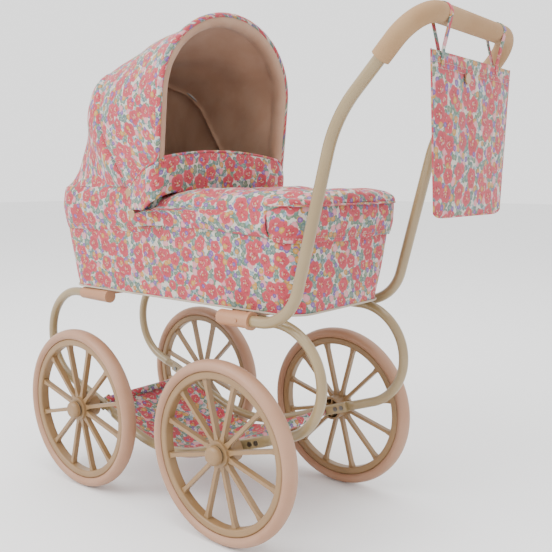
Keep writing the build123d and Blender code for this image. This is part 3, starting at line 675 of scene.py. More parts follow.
def tube_round(name, path, radius, material, closed=False, sides=10):
    """A round tube along a list of points, with the cloth map along it."""
    path = np.asarray(path)
    tangent = np.gradient(path, axis=0)
    if closed:
        tangent = np.roll(path, -1, 0) - np.roll(path, 1, 0)
    tangent /= np.linalg.norm(tangent, axis=1, keepdims=True)
    side = np.cross(tangent, (0, 0, 1.0))
    weak = np.linalg.norm(side, axis=1) < 1e-3
    side[weak] = (1, 0, 0)
    side /= np.linalg.norm(side, axis=1, keepdims=True)
    up = np.cross(side, tangent)
    angles = np.linspace(0, 2 * math.pi, sides, endpoint=False)
    rings = [[p + radius * (math.cos(a) * s + math.sin(a) * u) for a in angles]
             for p, s, u in zip(path, side, up)]
    count = len(path)
    points = [p for ring in rings for p in ring]
    spans = range(count if closed else count - 1)
    faces = [(i * sides + j, ((i + 1) % count) * sides + j, ((i + 1) % count) * sides + (j + 1) % sides,
              i * sides + (j + 1) % sides) for i in spans for j in range(sides)]
    if not closed:
        faces += [tuple(range(sides)), tuple(reversed(range((count - 1) * sides, count * sides)))]
    along = lengths(path)
    uvs = [(along[i], j / sides * 2 * math.pi * radius) for i in range(count) for j in range(sides)]
    piece = add_mesh(name, points, faces, uvs)
    first = piece.data.polygons[0]
    if (first.center - Vector(path[0] + (path[1] - path[0]) / 2)).dot(first.normal) < 0:
        piece.data.flip_normals()
    dress(piece, material)
    return piece


piping = tube_round("bottom_piping", ends_joined(bottom + 1.4, 1.2, 90)[:-1], 1.5 * mm, cream_cloth,
                    closed=True)
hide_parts("cot_piping")
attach(piping, "chassis")
print("cover, lining and piping made")

# %% [markdown]
# The mattress lies inside, under the hood and apron. It is a rounded pad with a shallow crown.

# %% Mattress
mattress_low, mattress_high = (np.array(corner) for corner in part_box("mattress"))
PAD_RINGS = 9
pad_rings = []
for share in np.linspace(0, 1, PAD_RINGS):
    angle = math.pi * share
    height = mattress_low[2] + (mattress_high[2] - mattress_low[2]) * (1 - math.cos(angle)) / 2
    pad_rings.append(ends_joined(height / mm, -7.6 - 7 * (1 - math.sin(angle)), 40)[:-1])
pad_points = [p for ring in pad_rings for p in ring]
ring_size = len(pad_rings[0])
pad_faces = [(i * ring_size + j, i * ring_size + (j + 1) % ring_size,
              (i + 1) * ring_size + (j + 1) % ring_size, (i + 1) * ring_size + j)
             for i in range(PAD_RINGS - 1) for j in range(ring_size)]
pad_faces += [tuple(reversed(range(ring_size))),
              tuple(range((PAD_RINGS - 1) * ring_size, PAD_RINGS * ring_size))]
pad = add_mesh("mattress_pad", pad_points, pad_faces, [(p[0], p[1]) for p in pad_points])
if pad.data.polygons[-1].normal.z < 0:
    pad.data.flip_normals()
pad.data.materials.append(lining_cloth)
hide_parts("mattress")
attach(pad, "chassis")
print("mattress made")

# %% [markdown]
# The hood is one cloth from the front bow over the rear bow and down round the head end. Each row
# of its grid is a line from its left foot over the top to its right foot: first the upright front
# arch, then the seam over the rear bow, and last the carrycot's outline at the skirt. Rows between
# the bows are stretched straight. Rows behind the rear bow swell out from the seam and fall in a
# curve, so the seam shows as a crease.

# %% Hood shape
COUNT = 81
FORWARD_SHARES = list(np.linspace(0, 0.93, 12)) + [0.97, 0.99, 1.0]
SEAM_ROW = len(FORWARD_SHARES) - 1
hood_foot = box_mm("hood_skirt")[1][2]
canopy_high = box_mm("hood_canopy")[1]
ARCH_HALF = 138.0
ARCH_SPRING = 610.0
SKIRT_TOP_GROW = 1.0
ROUNDER = 18.0
BACK_PLANE = -210.0
FULL_HEIGHT = 190.0
arch_top = canopy_high[2] - 1.0


def front_arch(z):
    """How far back the hood's mouth stands at height z. It leans a little."""
    return 46.2 + 0.1 * (z - 600.0)


def front_row(grow=0.0, back=0.0):
    """The hood's front edge, from the left foot over the top to the right foot."""
    points = [(ARCH_HALF + grow, z) for z in np.linspace(hood_foot, ARCH_SPRING, 12)[:-1]]
    for angle in np.linspace(0, math.pi / 2, 20):
        points.append(((ARCH_HALF + grow) * math.cos(angle),
                       ARCH_SPRING + (arch_top - ARCH_SPRING + grow) * math.sin(angle)))
    points += [(-x, z) for x, z in reversed(points[:-1])]
    return resample([at(x, front_arch(z) - back, z) for x, z in points], COUNT)


def both_sides(left):
    """A smooth row through points on the left and their mirror images on the right."""
    return smooth_line([at(*p) for p in left] + [at(-x, y, z) for x, y, z in reversed(left)], COUNT)


def rear_seam_row():
    """The seam over the rear bow. It starts at the hood's foot, runs back and then over the top."""
    left = [(127, -42, hood_foot), (125, -70, 514), (122, -97, 545), (119, -113, 580), (112, -119, 610),
            (95, -130, 638), (62, -150, 658), (25, -163, 667)]
    return both_sides(left)


def lining_seam_row():
    """The lining's seam, straight up along the rear bow and just inside it."""
    left = [(108, -40, hood_foot), (107, -61, 514), (106, -79, 545), (105, -100, 580), (103, -117, 608),
            (88, -131, 633), (56, -142, 646), (22, -146, 651)]
    return both_sides(left)


def foot_row(grow=0.0):
    """The hood's lower edge round the head end, from the left pivot to the right."""
    return half_outline(-1, hood_foot, SKIRT_TOP_GROW + grow, COUNT, start=-42.0, rounder=ROUNDER)


def hood_back(seam, foot, behind):
    """Rows behind the rear bow, from just past its seam down to the skirt."""
    height = np.linalg.norm(seam - foot, axis=1, keepdims=True)
    share_up = np.clip(height / (FULL_HEIGHT * mm), 0, 1)
    sideways = np.clip(np.abs(seam[:, :1]) / (120 * mm), 0, 1)
    corner = np.sin(math.pi * np.clip(sideways, 0, 1)) ** 1.5 + 0.75 * sideways ** 2
    shoulder = seam.copy()
    shoulder[:, 1:2] += (at(0, BACK_PLANE, 0)[1] - seam[:, 1:2]) * share_up * (1 - 0.42 * corner)
    shoulder[:, 0:1] *= 1 - 0.10 * share_up * sideways
    toward = at(0, -120, 0)[:2] - foot[:, :2]
    toward /= np.linalg.norm(toward, axis=1, keepdims=True)
    waist = foot.copy()
    waist[:, 2:3] += 0.30 * height
    waist[:, :2] += toward * share_up * (27 + 50 * corner) * mm
    rows = []
    for t in [0.006, 0.02] + list(np.linspace(0, 1, behind + 1)[1:]):
        rows.append((1 - t) ** 3 * seam + 3 * (1 - t) ** 2 * t * shoulder
                    + 3 * (1 - t) * t ** 2 * waist + t ** 3 * foot)
    return rows


def hood_rows(front, seam, foot, behind):
    """All rows of a hood cloth: from its front to its seam, and then behind the seam to its foot."""
    rows = [front + (seam - front) * t for t in FORWARD_SHARES]
    return np.array(rows + hood_back(seam, foot, behind))


def seam_distance(grid):
    """How far each point of a hood grid is from the seam in its own column, in metres."""
    return np.linalg.norm(grid - grid[SEAM_ROW][None], axis=-1)


def swell(grid, reach, sides):
    """Push the cloth out between its seams: reach in mm behind the seam, sides in mm before it."""
    normal = grid_normals(grid)
    outward = np.sign(((grid - hood_middle) * normal).sum(-1, keepdims=True))
    from_seam = seam_distance(grid)
    rows = np.arange(len(grid))
    behind = np.where(rows > SEAM_ROW, 1.0, 0.0)[:, None]
    fade = np.clip((len(grid) - 1 - rows) / 6, 0, 1)[:, None]
    push = behind * reach * (1 - np.exp(-(from_seam / (11 * mm)) ** 1.2)) * fade
    taut = np.sin(np.clip(rows / SEAM_ROW, 0, 1) * math.pi)[:, None]
    push = push + (1 - behind) * sides * taut - 3.2 * np.exp(-(from_seam / (2.2 * mm)) ** 2)
    return grid + normal * outward * push[..., None] * mm


hood_middle = at(0, -70, 520)
canopy_grid = swell(hood_rows(front_row(), rear_seam_row(), foot_row(), 22), 6.0, 2.0)
loose = np.clip(seam_distance(canopy_grid) / (25 * mm), 0.1, 1)
canopy_grid = rumple(canopy_grid, 4.2 * mm, 0.055, 9, loose)
canopy_grid = rumple(canopy_grid, 1.5 * mm, 0.02, 12, loose)
canopy_grid[0] = front_row()
canopy_grid[-1] = foot_row()
canopy = cloth("canopy", canopy_grid, hood_middle, print_turned, thickness=1.2, shift=(0.03, 0.05),
               datum=SEAM_ROW, even=True)
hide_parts("hood_canopy")

# %% [markdown]
# The lining first rolls round the front bow in a gathered strip, and then lines the hood inside
# both bows. It puckers along its seams and is slack between them.

# %% Hood lining
roll = [front_row(grow, back) for grow, back in (
    (-5, 1.5), (-11, 0.5), (-16.5, 3.0), (-18.5, 9.0), (-17.5, 17.0))]
lining_grid = swell(hood_rows(front_row(-16, 20.0), lining_seam_row(), foot_row(-14), 18), 5.0, 3.0)
near_seam = seam_distance(lining_grid)
lining_grid = rumple(lining_grid, 5.0 * mm, 0.045, 21, np.clip(near_seam / (30 * mm), 0.15, 1))
along_rows = lengths(lining_grid[SEAM_ROW])
for j in range(COUNT):
    pucker = noise.noise(Vector((along_rows[j] * 95, 3.3, 0)))
    fade = np.exp(-near_seam[:, j] / (38 * mm))
    lining_grid[:, j, 2] += pucker * fade * 3.8 * mm
strip = np.array(roll)
for j in range(COUNT):
    ruffle = noise.noise(Vector((along_rows[j] * 105, 9.1, 0))) * 3.6 * mm
    inward = hood_middle - strip[1:, j]
    strip[1:, j] += inward / np.linalg.norm(inward, axis=1)[:, None] * ruffle
lining_grid = np.concatenate([strip, lining_grid])
hood_inner = cloth("hood_inner", lining_grid, hood_middle, lining_cloth, thickness=0.8,
                   datum=len(roll), even=True)
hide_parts("hood_lining")
seam_cord_inside = tube_round("lining_seam", lining_seam_row(), 2.4 * mm, lining_cloth)

# %% [markdown]
# The front edge is a casing: a band of the print folded round the arch. It is a flattened tube
# along the arch.

# %% Front casing
def flat_tube(name, path, width, depth, material, outward):
    """A flattened tube along a path. outward gives the direction of its depth at each point."""
    path = np.asarray(path)
    tangent = np.gradient(path, axis=0)
    tangent /= np.linalg.norm(tangent, axis=1, keepdims=True)
    depth_way = outward / np.linalg.norm(outward, axis=1, keepdims=True)
    width_way = np.cross(tangent, depth_way)
    angles = np.linspace(0, 2 * math.pi, 15)
    grid = np.array([[p + 0.5 * width * mm * math.cos(a) * w + 0.5 * depth * mm * math.sin(a) * d
                      for a in angles] for p, w, d in zip(path, width_way, depth_way)])
    piece = cloth(name, grid, path.mean(0), material, thickness=0, levels=1)
    made = bmesh.new()
    made.from_mesh(piece.data)
    bmesh.ops.remove_doubles(made, verts=made.verts, dist=1e-6)
    open_edges = [edge for edge in made.edges if len(edge.link_faces) == 1]
    bmesh.ops.holes_fill(made, edges=open_edges)
    bmesh.ops.recalc_face_normals(made, faces=made.faces)
    made.to_mesh(piece.data)
    made.free()
    return piece


edge_line = front_row(-3.2, 4.0)
casing_out = edge_line - at(0, 46, 560)
casing_out[:, 1] = 0
casing = flat_tube("front_casing", edge_line, 11.0, 8.0, print_cloth, casing_out)
for piece in (canopy, hood_inner, seam_cord_inside, casing):
    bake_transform(piece)
print("hood, lining and casing made")

# %% [markdown]
# The skirt hangs from the hood's lower edge outside the carrycot's walls. It swells just under the
# hood and is drawn in at its hem, which wanders up and down a little. Its front ends are tucked in
# under the apron's.

# %% Skirt round the head end
def hem_bands(end, levels, start, count=130, taper=0.0, seed=1, depth=2.0, wander=0.0):
    """A band of cloth round one end of the carrycot. levels are (height, distance out) pairs from
    the top down. taper draws the ends in by so many mm, depth is how far its folds stand out, and
    wander is how far its hem goes up and down."""
    profile = smooth_line([(grow, 0, z) for z, grow in levels], 16)
    grid = np.array([
        half_outline(end, z, grow, count, start, ROUNDER * max(0, (z - 448) / 30) if end < 0 else 0.0)
        for grow, _, z in profile])
    normal = grid_normals(grid)
    out = np.sign(((grid - cot_middle) * normal).sum(-1, keepdims=True))
    along = lengths(grid[0])
    from_end = np.minimum(along, along[-1] - along)
    for i, share in enumerate(np.linspace(0, 1, len(grid))):
        folds = np.array([noise.noise(Vector((a * 24, seed, share * 0.6))) for a in along])
        rise = np.array([noise.noise(Vector((a * 11, seed + 5, 0))) for a in along])
        push = folds * depth * (0.3 + 0.7 * share) - taper * np.exp(-from_end / (35 * mm))
        grid[i] += normal[i] * out[i] * push[:, None] * mm
        grid[i, :, 2] += rise * wander * mm * share
    return rumple(grid, 1.3 * mm, 0.022, seed)


hem_height = box_mm("hood_skirt")[0][2]
skirt_levels = [(hood_foot + 0.5, 1.4), (470, 3.6), (455, 5.0), (436, 4.8), (420, 3.9), (hem_height, 3.2)]
skirt_grid = hem_bands(-1, skirt_levels, SPLIT, taper=3.6, seed=31, wander=2.5)
skirt = cloth("head_skirt", skirt_grid, cot_middle, print_turned, thickness=1.6, shift=(0.03, -0.2))
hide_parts("hood_skirt")
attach(skirt, "chassis")

# %% [markdown]
# The apron is a padded wrap that runs from hem to hem over the carrycot, and closes at the foot end
# with a band of its own below a seam. The wrap is rounded over the rim, puckers at the seam and is
# dented between. A short cloth simulation, with its borders held, settles the padding.

# %% Apron wrap
apron_low = box_mm("apron")[0]
SEAM_HEIGHT = rim + 1.0
WRAP_END = 222.0
SIDE_COLUMNS, TOP_COLUMNS, WRAP_ROWS, END_ROWS = 12, 46, 40, 14
WRAP_EDGE = 450.0
WRAP_CROWN = 471.0
END_CORNER = FOOT_CORNER + 4
foot_tip = rim_rear + 4.0
wrap_rise = (WRAP_EDGE - bottom) / (rim - bottom)
wrap_half = floor_half + wrap_rise * flare + 6.5


def side_hem(y):
    """Height of the apron's hem along the side. It rises toward the hood."""
    return float(np.interp(y, [-40, 0, 54, 125, 215, 265], [415, 417, 424, 423, 416, 411]))


def top_line(y, half, edge, height):
    """Half a cross section over the top, doubled: from the left edge over the crown to the right."""
    points = []
    for angle in np.linspace(0, math.pi, 61):
        c = math.cos(angle)
        x = half * math.copysign(abs(c) ** 0.42, c)
        z = edge + height * max(math.sin(angle), 0) ** 0.42
        points.append(at(x, y, z))
    return resample(points, TOP_COLUMNS)


def side_line(y, share_along):
    """The near side of the wrap at y, from its hem up to where the rounding starts."""
    points = []
    hem = side_hem(y)
    ahead = -34 + (WRAP_END + 34) * share_along
    for share in np.linspace(0, 1, SIDE_COLUMNS):
        z = hem + (WRAP_EDGE - hem) * share
        rise = (z - bottom) / (rim - bottom)
        grow = (3.6 + 2.9 * share + 5.6 * math.sin(math.pi * min(1, share * 1.1))
                + 4.2 * math.exp(-((ahead + 34) / 60) ** 2))
        low = ahead + (y - ahead) * max(0, (share - 0.55) / 0.45) ** 1.5
        points.append((floor_half + rise * flare + grow - 1.5 * share, low, z))
    return points


def wrap_points():
    """All points of the wrap, row by row: whole rows first and then the rows past the corners."""
    whole, short = [], []
    for share in np.linspace(0, 1, WRAP_ROWS):
        y = SPLIT - 3 + (WRAP_END - SPLIT + 3) * share
        crown = WRAP_CROWN - 3 * math.exp(-((y - 24) / 30) ** 2)
        top = top_line(y, wrap_half, WRAP_EDGE, crown - WRAP_EDGE)
        left = [at(x, low, z) for x, low, z in side_line(y, share)]
        right = [at(-x, low, z) for x, low, z in reversed(side_line(y, share))]
        top[0], top[-1] = left[-1], right[0]
        whole.append(np.array(left[:-1] + list(top) + right[1:]))
    for t in np.linspace(0, 1, END_ROWS + 1)[1:]:
        y = WRAP_END + (foot_tip - WRAP_END) * math.sin(t * math.pi / 2)
        past = max(0.0, y - (foot_tip - END_CORNER)) / END_CORNER
        half = wrap_half - END_CORNER * (1 - math.sqrt(max(0.0, 1 - past ** 2)))
        edge = WRAP_EDGE + (SEAM_HEIGHT - WRAP_EDGE) * min(1, 4 * t)
        height = (WRAP_CROWN - edge) * max(0.0, 1 - (t ** 4)) ** 0.5
        short.append(top_line(y, half, edge, max(height, 0.2)))
    return np.array(whole), np.array(short)


def dented(points, seed):
    """Dents and puckers of the padding, by height above the rim."""
    moved = []
    for x, y, z in points.reshape(-1, 3):
        u = x / (wrap_half * mm)
        up = min(1.0, max(0.0, (z / mm - 448) / 20))
        near_end = math.exp(-((y / mm - (base_y + foot_tip * mm) / mm) / 26) ** 2)
        gather = noise.noise(Vector((x * 60, y * 9, seed + 3))) * near_end
        dent = (noise.noise(Vector((x * 17, y * 13, seed))) * 5.0
                + noise.noise(Vector((x * 40, y * 32, seed + 9))) * 1.8)
        side_seed = seed + 20 + math.copysign(4, u)
        wave = noise.noise(Vector((y * 17, z * 9, side_seed))) * 3.0 * (1 - up)
        moved.append((x + math.copysign(wave, u) * mm, y, z + (dent * up + gather * 2.4 * up) * mm))
    return np.array(moved).reshape(points.shape)


def build_wrap():
    """The wrap as a flat-walled mesh, and the numbers of the points on its border."""
    whole, short = wrap_points()
    whole, short = dented(whole, 47), dented(short, 47)
    columns = whole.shape[1]
    first = SIDE_COLUMNS - 1
    points = list(whole.reshape(-1, 3)) + list(short.reshape(-1, 3))
    span = np.concatenate([whole[:, first:first + TOP_COLUMNS], short])
    across_top = np.array([lengths(row) for row in span])
    across_top -= across_top[:, TOP_COLUMNS // 2:TOP_COLUMNS // 2 + 1]
    down = lengths(span[:, TOP_COLUMNS // 2])
    uvs = []
    for i, row in enumerate(whole):
        run = lengths(row)
        run = run - run[first + TOP_COLUMNS // 2]
        uvs += [(u, -down[i] - (p[1] - row[first + 8][1])) for u, p in zip(run, row)]
    for i, row in enumerate(short):
        uvs += [(u, -down[WRAP_ROWS + i]) for u in across_top[WRAP_ROWS + i]]
    faces = grid_faces(WRAP_ROWS, columns)
    base = WRAP_ROWS * columns
    last = (WRAP_ROWS - 1) * columns + first
    for j in range(TOP_COLUMNS - 1):
        faces.append((last + j, last + j + 1, base + j + 1, base + j))
        corners = [base + i * TOP_COLUMNS + j for i in range(END_ROWS - 1)]
        faces += [(c, c + 1, c + TOP_COLUMNS + 1, c + TOP_COLUMNS) for c in corners]
    piece = add_mesh("apron_wrap", points, faces, uvs)
    turn_outward(piece, at(0, 120, 400))
    dress(piece, print_cloth)
    border = [j for j in range(columns)] + [i * columns for i in range(WRAP_ROWS)]
    border += [i * columns + columns - 1 for i in range(WRAP_ROWS)]
    border += [(WRAP_ROWS - 1) * columns + j for j in range(columns)
               if j < first or j >= first + TOP_COLUMNS]
    border += [base + i * TOP_COLUMNS + j for i in range(END_ROWS) for j in (0, TOP_COLUMNS - 1)]
    border += [base + (END_ROWS - 1) * TOP_COLUMNS + j for j in range(TOP_COLUMNS)]
    return piece, sorted(set(border))


SETTLE_FRAMES = 14
SETTLE_LIMIT = 6.0


def settle(piece, pinned, pressure, shrink):
    """Let a cloth piece fill out under a little air, with some of its points held. A point that
    moves further than the limit is kept at the limit."""
    held = piece.vertex_groups.new(name="held")
    held.add(pinned, 1.0, "REPLACE")
    sim = piece.modifiers.new("settle", "CLOTH")
    sim.settings.vertex_group_mass = "held"
    sim.settings.use_pressure = True
    sim.settings.uniform_pressure_force = pressure
    sim.settings.shrink_min = shrink
    sim.settings.effector_weights.gravity = 0.0
    sim.settings.quality = 6
    sim.settings.bending_stiffness = 0.6
    scene = bpy.context.scene
    before = [v.co.copy() for v in piece.data.vertices]
    for frame_number in range(1, SETTLE_FRAMES + 1):
        scene.frame_set(frame_number)
    posed = piece.evaluated_get(bpy.context.evaluated_depsgraph_get())
    after = [v.co.copy() for v in posed.data.vertices]
    piece.modifiers.remove(sim)
    piece.vertex_groups.remove(held)
    limit = SETTLE_LIMIT * mm
    moves = [new - old for new, old in zip(after, before)]
    for vertex, old, move in zip(piece.data.vertices, before, moves):
        vertex.co = old + (move if move.length < limit else move.normalized() * limit)
    scene.frame_set(1)
    farthest = max(move.length for move in moves)
    stopped = sum(move.length >= limit for move in moves)
    print(f"{piece.name} settled by up to {min(farthest, limit) / mm:.1f} mm. Before the limit the "
          f"farthest was {farthest / mm:.1f} mm, and {stopped} of {len(moves)} points reached it")


apron_wrap, wrap_border = build_wrap()
settle(apron_wrap, wrap_border, pressure=0.5, shrink=-0.02)
thicken(apron_wrap, 3.0, levels=1)
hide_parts("apron")
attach(apron_wrap, "chassis")

# %% Apron band
band_levels = [(SEAM_HEIGHT + 1.5, 3.2), (447, 5.6), (432, 6.4), (420, 5.6),
               (apron_low[2] - 1.0, 4.6)]
band_grid = hem_bands(1, band_levels, WRAP_END - 3, count=100, seed=63, wander=3.0)
apron_band = cloth("apron_band", band_grid, cot_middle, print_cloth, thickness=1.8, shift=(0.1, 0.15))
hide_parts("apron")
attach(apron_band, "chassis")
seam_line = half_outline(1, SEAM_HEIGHT + 1.8, 4.6, 90, WRAP_END - 3)
seam_cord = tube_round("apron_seam", seam_line, 1.5 * mm, print_cloth)
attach(seam_cord, "chassis")
print("apron made")

# %% [markdown]
# The draft flap stands across the hood's mouth. Its cloth is gathered, so it has upright folds that
# are deepest at its foot, and its top edge is a rolled hem. At each side an ear of the same cloth
# wraps round the hood's foot to the press studs.

# %% Draft flap
flap_low = box_mm("draft_flap")[0]
FLAP_COLUMNS = 150
flap_plan = smooth_line([at(x, y, 0) for x, y in (
    (-129.5, -38), (-131.5, -30), (-137, -10), (-141.5, 12), (-139.5, 30), (-124, 37), (-60, 35), (0, 34),
    (60, 35), (124, 37), (139.5, 30), (141.5, 12), (137, -10), (131.5, -30), (129.5, -38))], FLAP_COLUMNS)


def flap_grid(push, rows=14):
    """The flap with its ears, from its foot up. push moves it out of its own middle, in mm."""
    along = lengths(flap_plan)
    along -= along[-1] / 2
    tangent = np.gradient(flap_plan, axis=0)
    normal = np.cross(tangent, (0, 0, 1.0))
    normal /= np.linalg.norm(normal, axis=1, keepdims=True)
    normal *= np.sign(((flap_plan - at(0, -60, 0)) * normal).sum(-1, keepdims=True))
    grid = []
    for share in np.linspace(0, 1, rows):
        row = []
        for j in range(FLAP_COLUMNS):
            s = abs(along[j]) / mm
            ear = min(1.0, max(0.0, (s - 122) / 75))
            shoulder = min(1.0, max(0.0, (s - 104) / 62))
            foot = flap_low[2] - 2.5 - 25 * shoulder ** 1.6
            top = 531 - 11 * min(1, s / 125) ** 2 - 38 * ear ** 1.1
            z = foot + share * (top - foot)
            fold = noise.noise(Vector((along[j] * 55, share * 0.7, 71)))
            depth = (3.4 * fold * (1.2 - share)) * (1 - 0.7 * ear)
            belly = 3.2 * math.sin(math.pi * share) * (1 - ear)
            calm = 1 - 0.5 * ear
            tuck = -3.0 * ear * (1 - share) ** 4
            out = push + tuck + (belly + depth) * calm
            row.append(flap_plan[j] + normal[j] * out * mm + np.array((0, 0, z * mm)))
        grid.append(row)
    return rumple(np.array(grid), 1.2 * mm, 0.02, 77)


flap = cloth("flap_cloth", flap_grid(0.5), at(0, -60, 500), print_cloth, thickness=3.0, shift=(0.2, 0.6))
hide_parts("draft_flap")
flap_hem = tube_round("flap_hem", flap_grid(-0.6)[-1], 2.2 * mm, print_cloth)
for piece in (flap, flap_hem):
    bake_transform(piece)
print("flap made")

# %% [markdown]
# The basket is a cloth slung between the lower rails from axle to axle. It dips with the rails and
# sags a little more between them, and its side edges are bound.

# %% Basket
half_base = (axle_boxes[1][0][1] - axle_boxes[0][0][1]) / 2 / mm
axle_height = (axle_boxes[0][0][2] + axle_boxes[0][1][2]) / 2 / mm
BASKET_HALF = 91.0
SLING_ANGLE = 19.8


def basket_height(y):
    """The sling's height along the pram: straight from each axle, with a round bend in the middle."""
    corner = axle_height - half_base * math.tan(math.radians(SLING_ANGLE)) - 16
    slope = (axle_height - corner) / half_base
    bend = 62.0
    if abs(y) > bend:
        return corner + slope * abs(y)
    return corner + slope * (y * y / bend + bend) / 2


basket_grid = []
for y in np.linspace(half_base - 4, -half_base + 4, 44):
    row = []
    for u in np.linspace(-1, 1, 36):
        calm = 1 - (abs(y) / half_base) ** 4
        sag = 9.0 * (1 - u * u) * calm
        curl = 7.0 * abs(u) ** 7 * calm
        row.append(at(u * BASKET_HALF, y, basket_height(y) - 2 - sag + curl))
    basket_grid.append(row)
basket_grid = rumple(np.array(basket_grid), 2.6 * mm, 0.035, 83)
basket = cloth("basket_cloth", basket_grid, at(0, 0, 600), print_turned, thickness=1.4, shift=(0.7, 0.1))
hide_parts("storage_basket")
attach(basket, "chassis")
for side_name, column in (("left", 0), ("right", -1)):
    edge = tube_round(f"basket_binding_{side_name}", basket_grid[:, column], 1.8 * mm, print_cloth)
    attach(edge, "chassis")
for end_name, y in (("front", -half_base), ("rear", half_base)):
    span = [at(x, y, axle_height) for x in np.linspace(-BASKET_HALF, BASKET_HALF, 30)]
    sleeve = tube_round(f"basket_sleeve_{end_name}", span, 6.6 * mm, print_cloth, sides=16)
    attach(sleeve, "chassis")
print("basket made")

# %% [markdown]
# The bag is two panels sewn round three sides. It is thin at its seams and fuller in the middle,
# creased near the top where an elastic hem gathers it, and hangs by two cloth loops.

# %% Bag
bag_low, bag_high = box_mm("bag")
bag_y = (bag_low[1] + bag_high[1]) / 2 - base_y / mm
bag_x = (bag_low[0] + bag_high[0]) / 2
top_half = (bag_high[0] - bag_low[0]) / 2
bottom_half = top_half - 16.0


def bag_panel(facing):
    """One side of the bag, from its top down. facing is 1 for the rear panel and -1 for the front."""
    grid = []
    for share in np.linspace(0, 1, 30):
        half = top_half + (bottom_half - top_half) * min(1, share * 1.02)
        row = []
        for u in np.linspace(-1, 1, 40):
            round_off = 5.0 * abs(u) ** 14 * (share ** 12)
            z = bag_high[2] - share * (bag_high[2] - bag_low[2]) + round_off
            full = (1 - abs(u) ** 4) * (math.sin(math.pi * min(1, share * 0.94 + 0.06)) ** 0.6)
            near_hem = math.exp(-((share - 0.07) / 0.07) ** 2)
            gather = noise.noise(Vector((u * 26, facing, 91))) * near_hem * 2.2
            drape = noise.noise(Vector((u * 2.6, share * 3.2, 95 + facing))) * 2.4
            depth = 0.8 + 3.6 * full + (gather + drape) * full
            row.append(at(bag_x + u * half, bag_y + facing * depth, z))
        grid.append(row)
    return np.array(grid)


for label, facing in (("rear", 1), ("front", -1)):
    piece = cloth(f"bag_panel_{label}", bag_panel(facing), at(bag_x, bag_y, 540), print_cloth,
                  thickness=0.9, shift=(0.9 if facing > 0 else 1.4, 0.0))
    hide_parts("bag")
    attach(piece, "hanging_bag")
rim_line = bag_panel(1)
for label, line in (("left", rim_line[:, 0]), ("right", rim_line[:, -1]), ("bottom", rim_line[-1])):
    edge_points = np.array(line)
    edge_points[:, 1] = at(0, bag_y, 0)[1]
    welt = tube_round(f"bag_welt_{label}", edge_points, 1.1 * mm, print_cloth)
    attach(welt, "hanging_bag")

loop_low, loop_high = box_mm("bag_loops")
grip_high = box_mm("handle_grip")[1]
GRIP_RADIUS = 11.5
LOOP_RADIUS = 12.6
bar_y = grip_high[1] - base_y / mm - GRIP_RADIUS
bar_z = grip_high[2] - GRIP_RADIUS
loop_width = 8.0
for label, x in (("left", loop_high[0] - loop_width / 2), ("right", loop_low[0] + loop_width / 2)):
    foot = [(bag_y + 3.2, bag_high[2] - 16), (bag_y + 3.6, bag_high[2] + 2)]
    over = [(bar_y + LOOP_RADIUS * math.cos(a), bar_z + LOOP_RADIUS * math.sin(a))
            for a in np.linspace(-0.25, math.pi + 0.25, 22)]
    back = [(bag_y - 3.6, bag_high[2] + 2), (bag_y - 3.2, bag_high[2] - 16)]
    line = resample([at(x, y, z) for y, z in foot + over + back], 60)
    offsets = np.linspace(-loop_width / 2, loop_width / 2, 5)
    grid = np.array([[p + np.array((w * mm, 0, 0)) for w in offsets] for p in line])
    strap = cloth(f"bag_loop_{label}", grid, at(x, bar_y, bar_z - 14), print_cloth, thickness=1.2,
                  shift=(x * mm, 0.5))
    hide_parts("bag_loops")
    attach(strap, "hanging_bag")
print("bag made")

# %% [markdown]
# Stitches repeat along every hem, so Geometry Nodes lays them. The tree takes a line, spaces points
# along it, puts a small stitch on each that follows the line, and gives it the thread's finish.

# %% Stitch tree
def build_stitcher():
    tree = bpy.data.node_groups.new("running stitch", "GeometryNodeTree")
    tree.interface.new_socket("Geometry", in_out="INPUT", socket_type="NodeSocketGeometry")
    for label, default in (("Spacing", 0.0042), ("Stitch Length", 0.0028), ("Thread Radius", 0.0004)):
        tree.interface.new_socket(label, in_out="INPUT", socket_type="NodeSocketFloat").default_value = default
    tree.interface.new_socket("Thread", in_out="INPUT", socket_type="NodeSocketMaterial")
    tree.interface.new_socket("Geometry", in_out="OUTPUT", socket_type="NodeSocketGeometry")
    new, link = tree.nodes.new, tree.links.new
    given, result = new("NodeGroupInput"), new("NodeGroupOutput")
    line = new("GeometryNodeMeshToCurve")
    link(given.outputs["Geometry"], line.inputs[0])
    spaced = new("GeometryNodeResampleCurve")
    spaced.mode = "LENGTH"
    link(line.outputs[0], spaced.inputs["Curve"])
    link(given.outputs["Spacing"], spaced.inputs["Length"])
    tangent = new("GeometryNodeInputTangent")
    turn = new("FunctionNodeAlignRotationToVector")
    turn.axis = "X"
    link(tangent.outputs[0], turn.inputs["Vector"])
    stitch = new("GeometryNodeMeshUVSphere")
    stitch.inputs["Segments"].default_value = 6
    stitch.inputs["Rings"].default_value = 4
    stitch.inputs["Radius"].default_value = 1.0
    size = new("ShaderNodeCombineXYZ")
    half = new("ShaderNodeMath")
    half.operation = "MULTIPLY"
    half.inputs[1].default_value = 0.5
    link(given.outputs["Stitch Length"], half.inputs[0])
    link(half.outputs[0], size.inputs["X"])
    link(given.outputs["Thread Radius"], size.inputs["Y"])
    link(given.outputs["Thread Radius"], size.inputs["Z"])
    placed = new("GeometryNodeInstanceOnPoints")
    link(spaced.outputs[0], placed.inputs["Points"])
    link(stitch.outputs[0], placed.inputs["Instance"])
    link(turn.outputs[0], placed.inputs["Rotation"])
    link(size.outputs[0], placed.inputs["Scale"])
    real = new("GeometryNodeRealizeInstances")
    link(placed.outputs[0], real.inputs[0])
    finish = new("GeometryNodeSetMaterial")
    link(real.outputs[0], finish.inputs["Geometry"])
    link(given.outputs["Thread"], finish.inputs["Material"])
    link(finish.outputs[0], result.inputs[0])
    return tree


stitcher = build_stitcher()


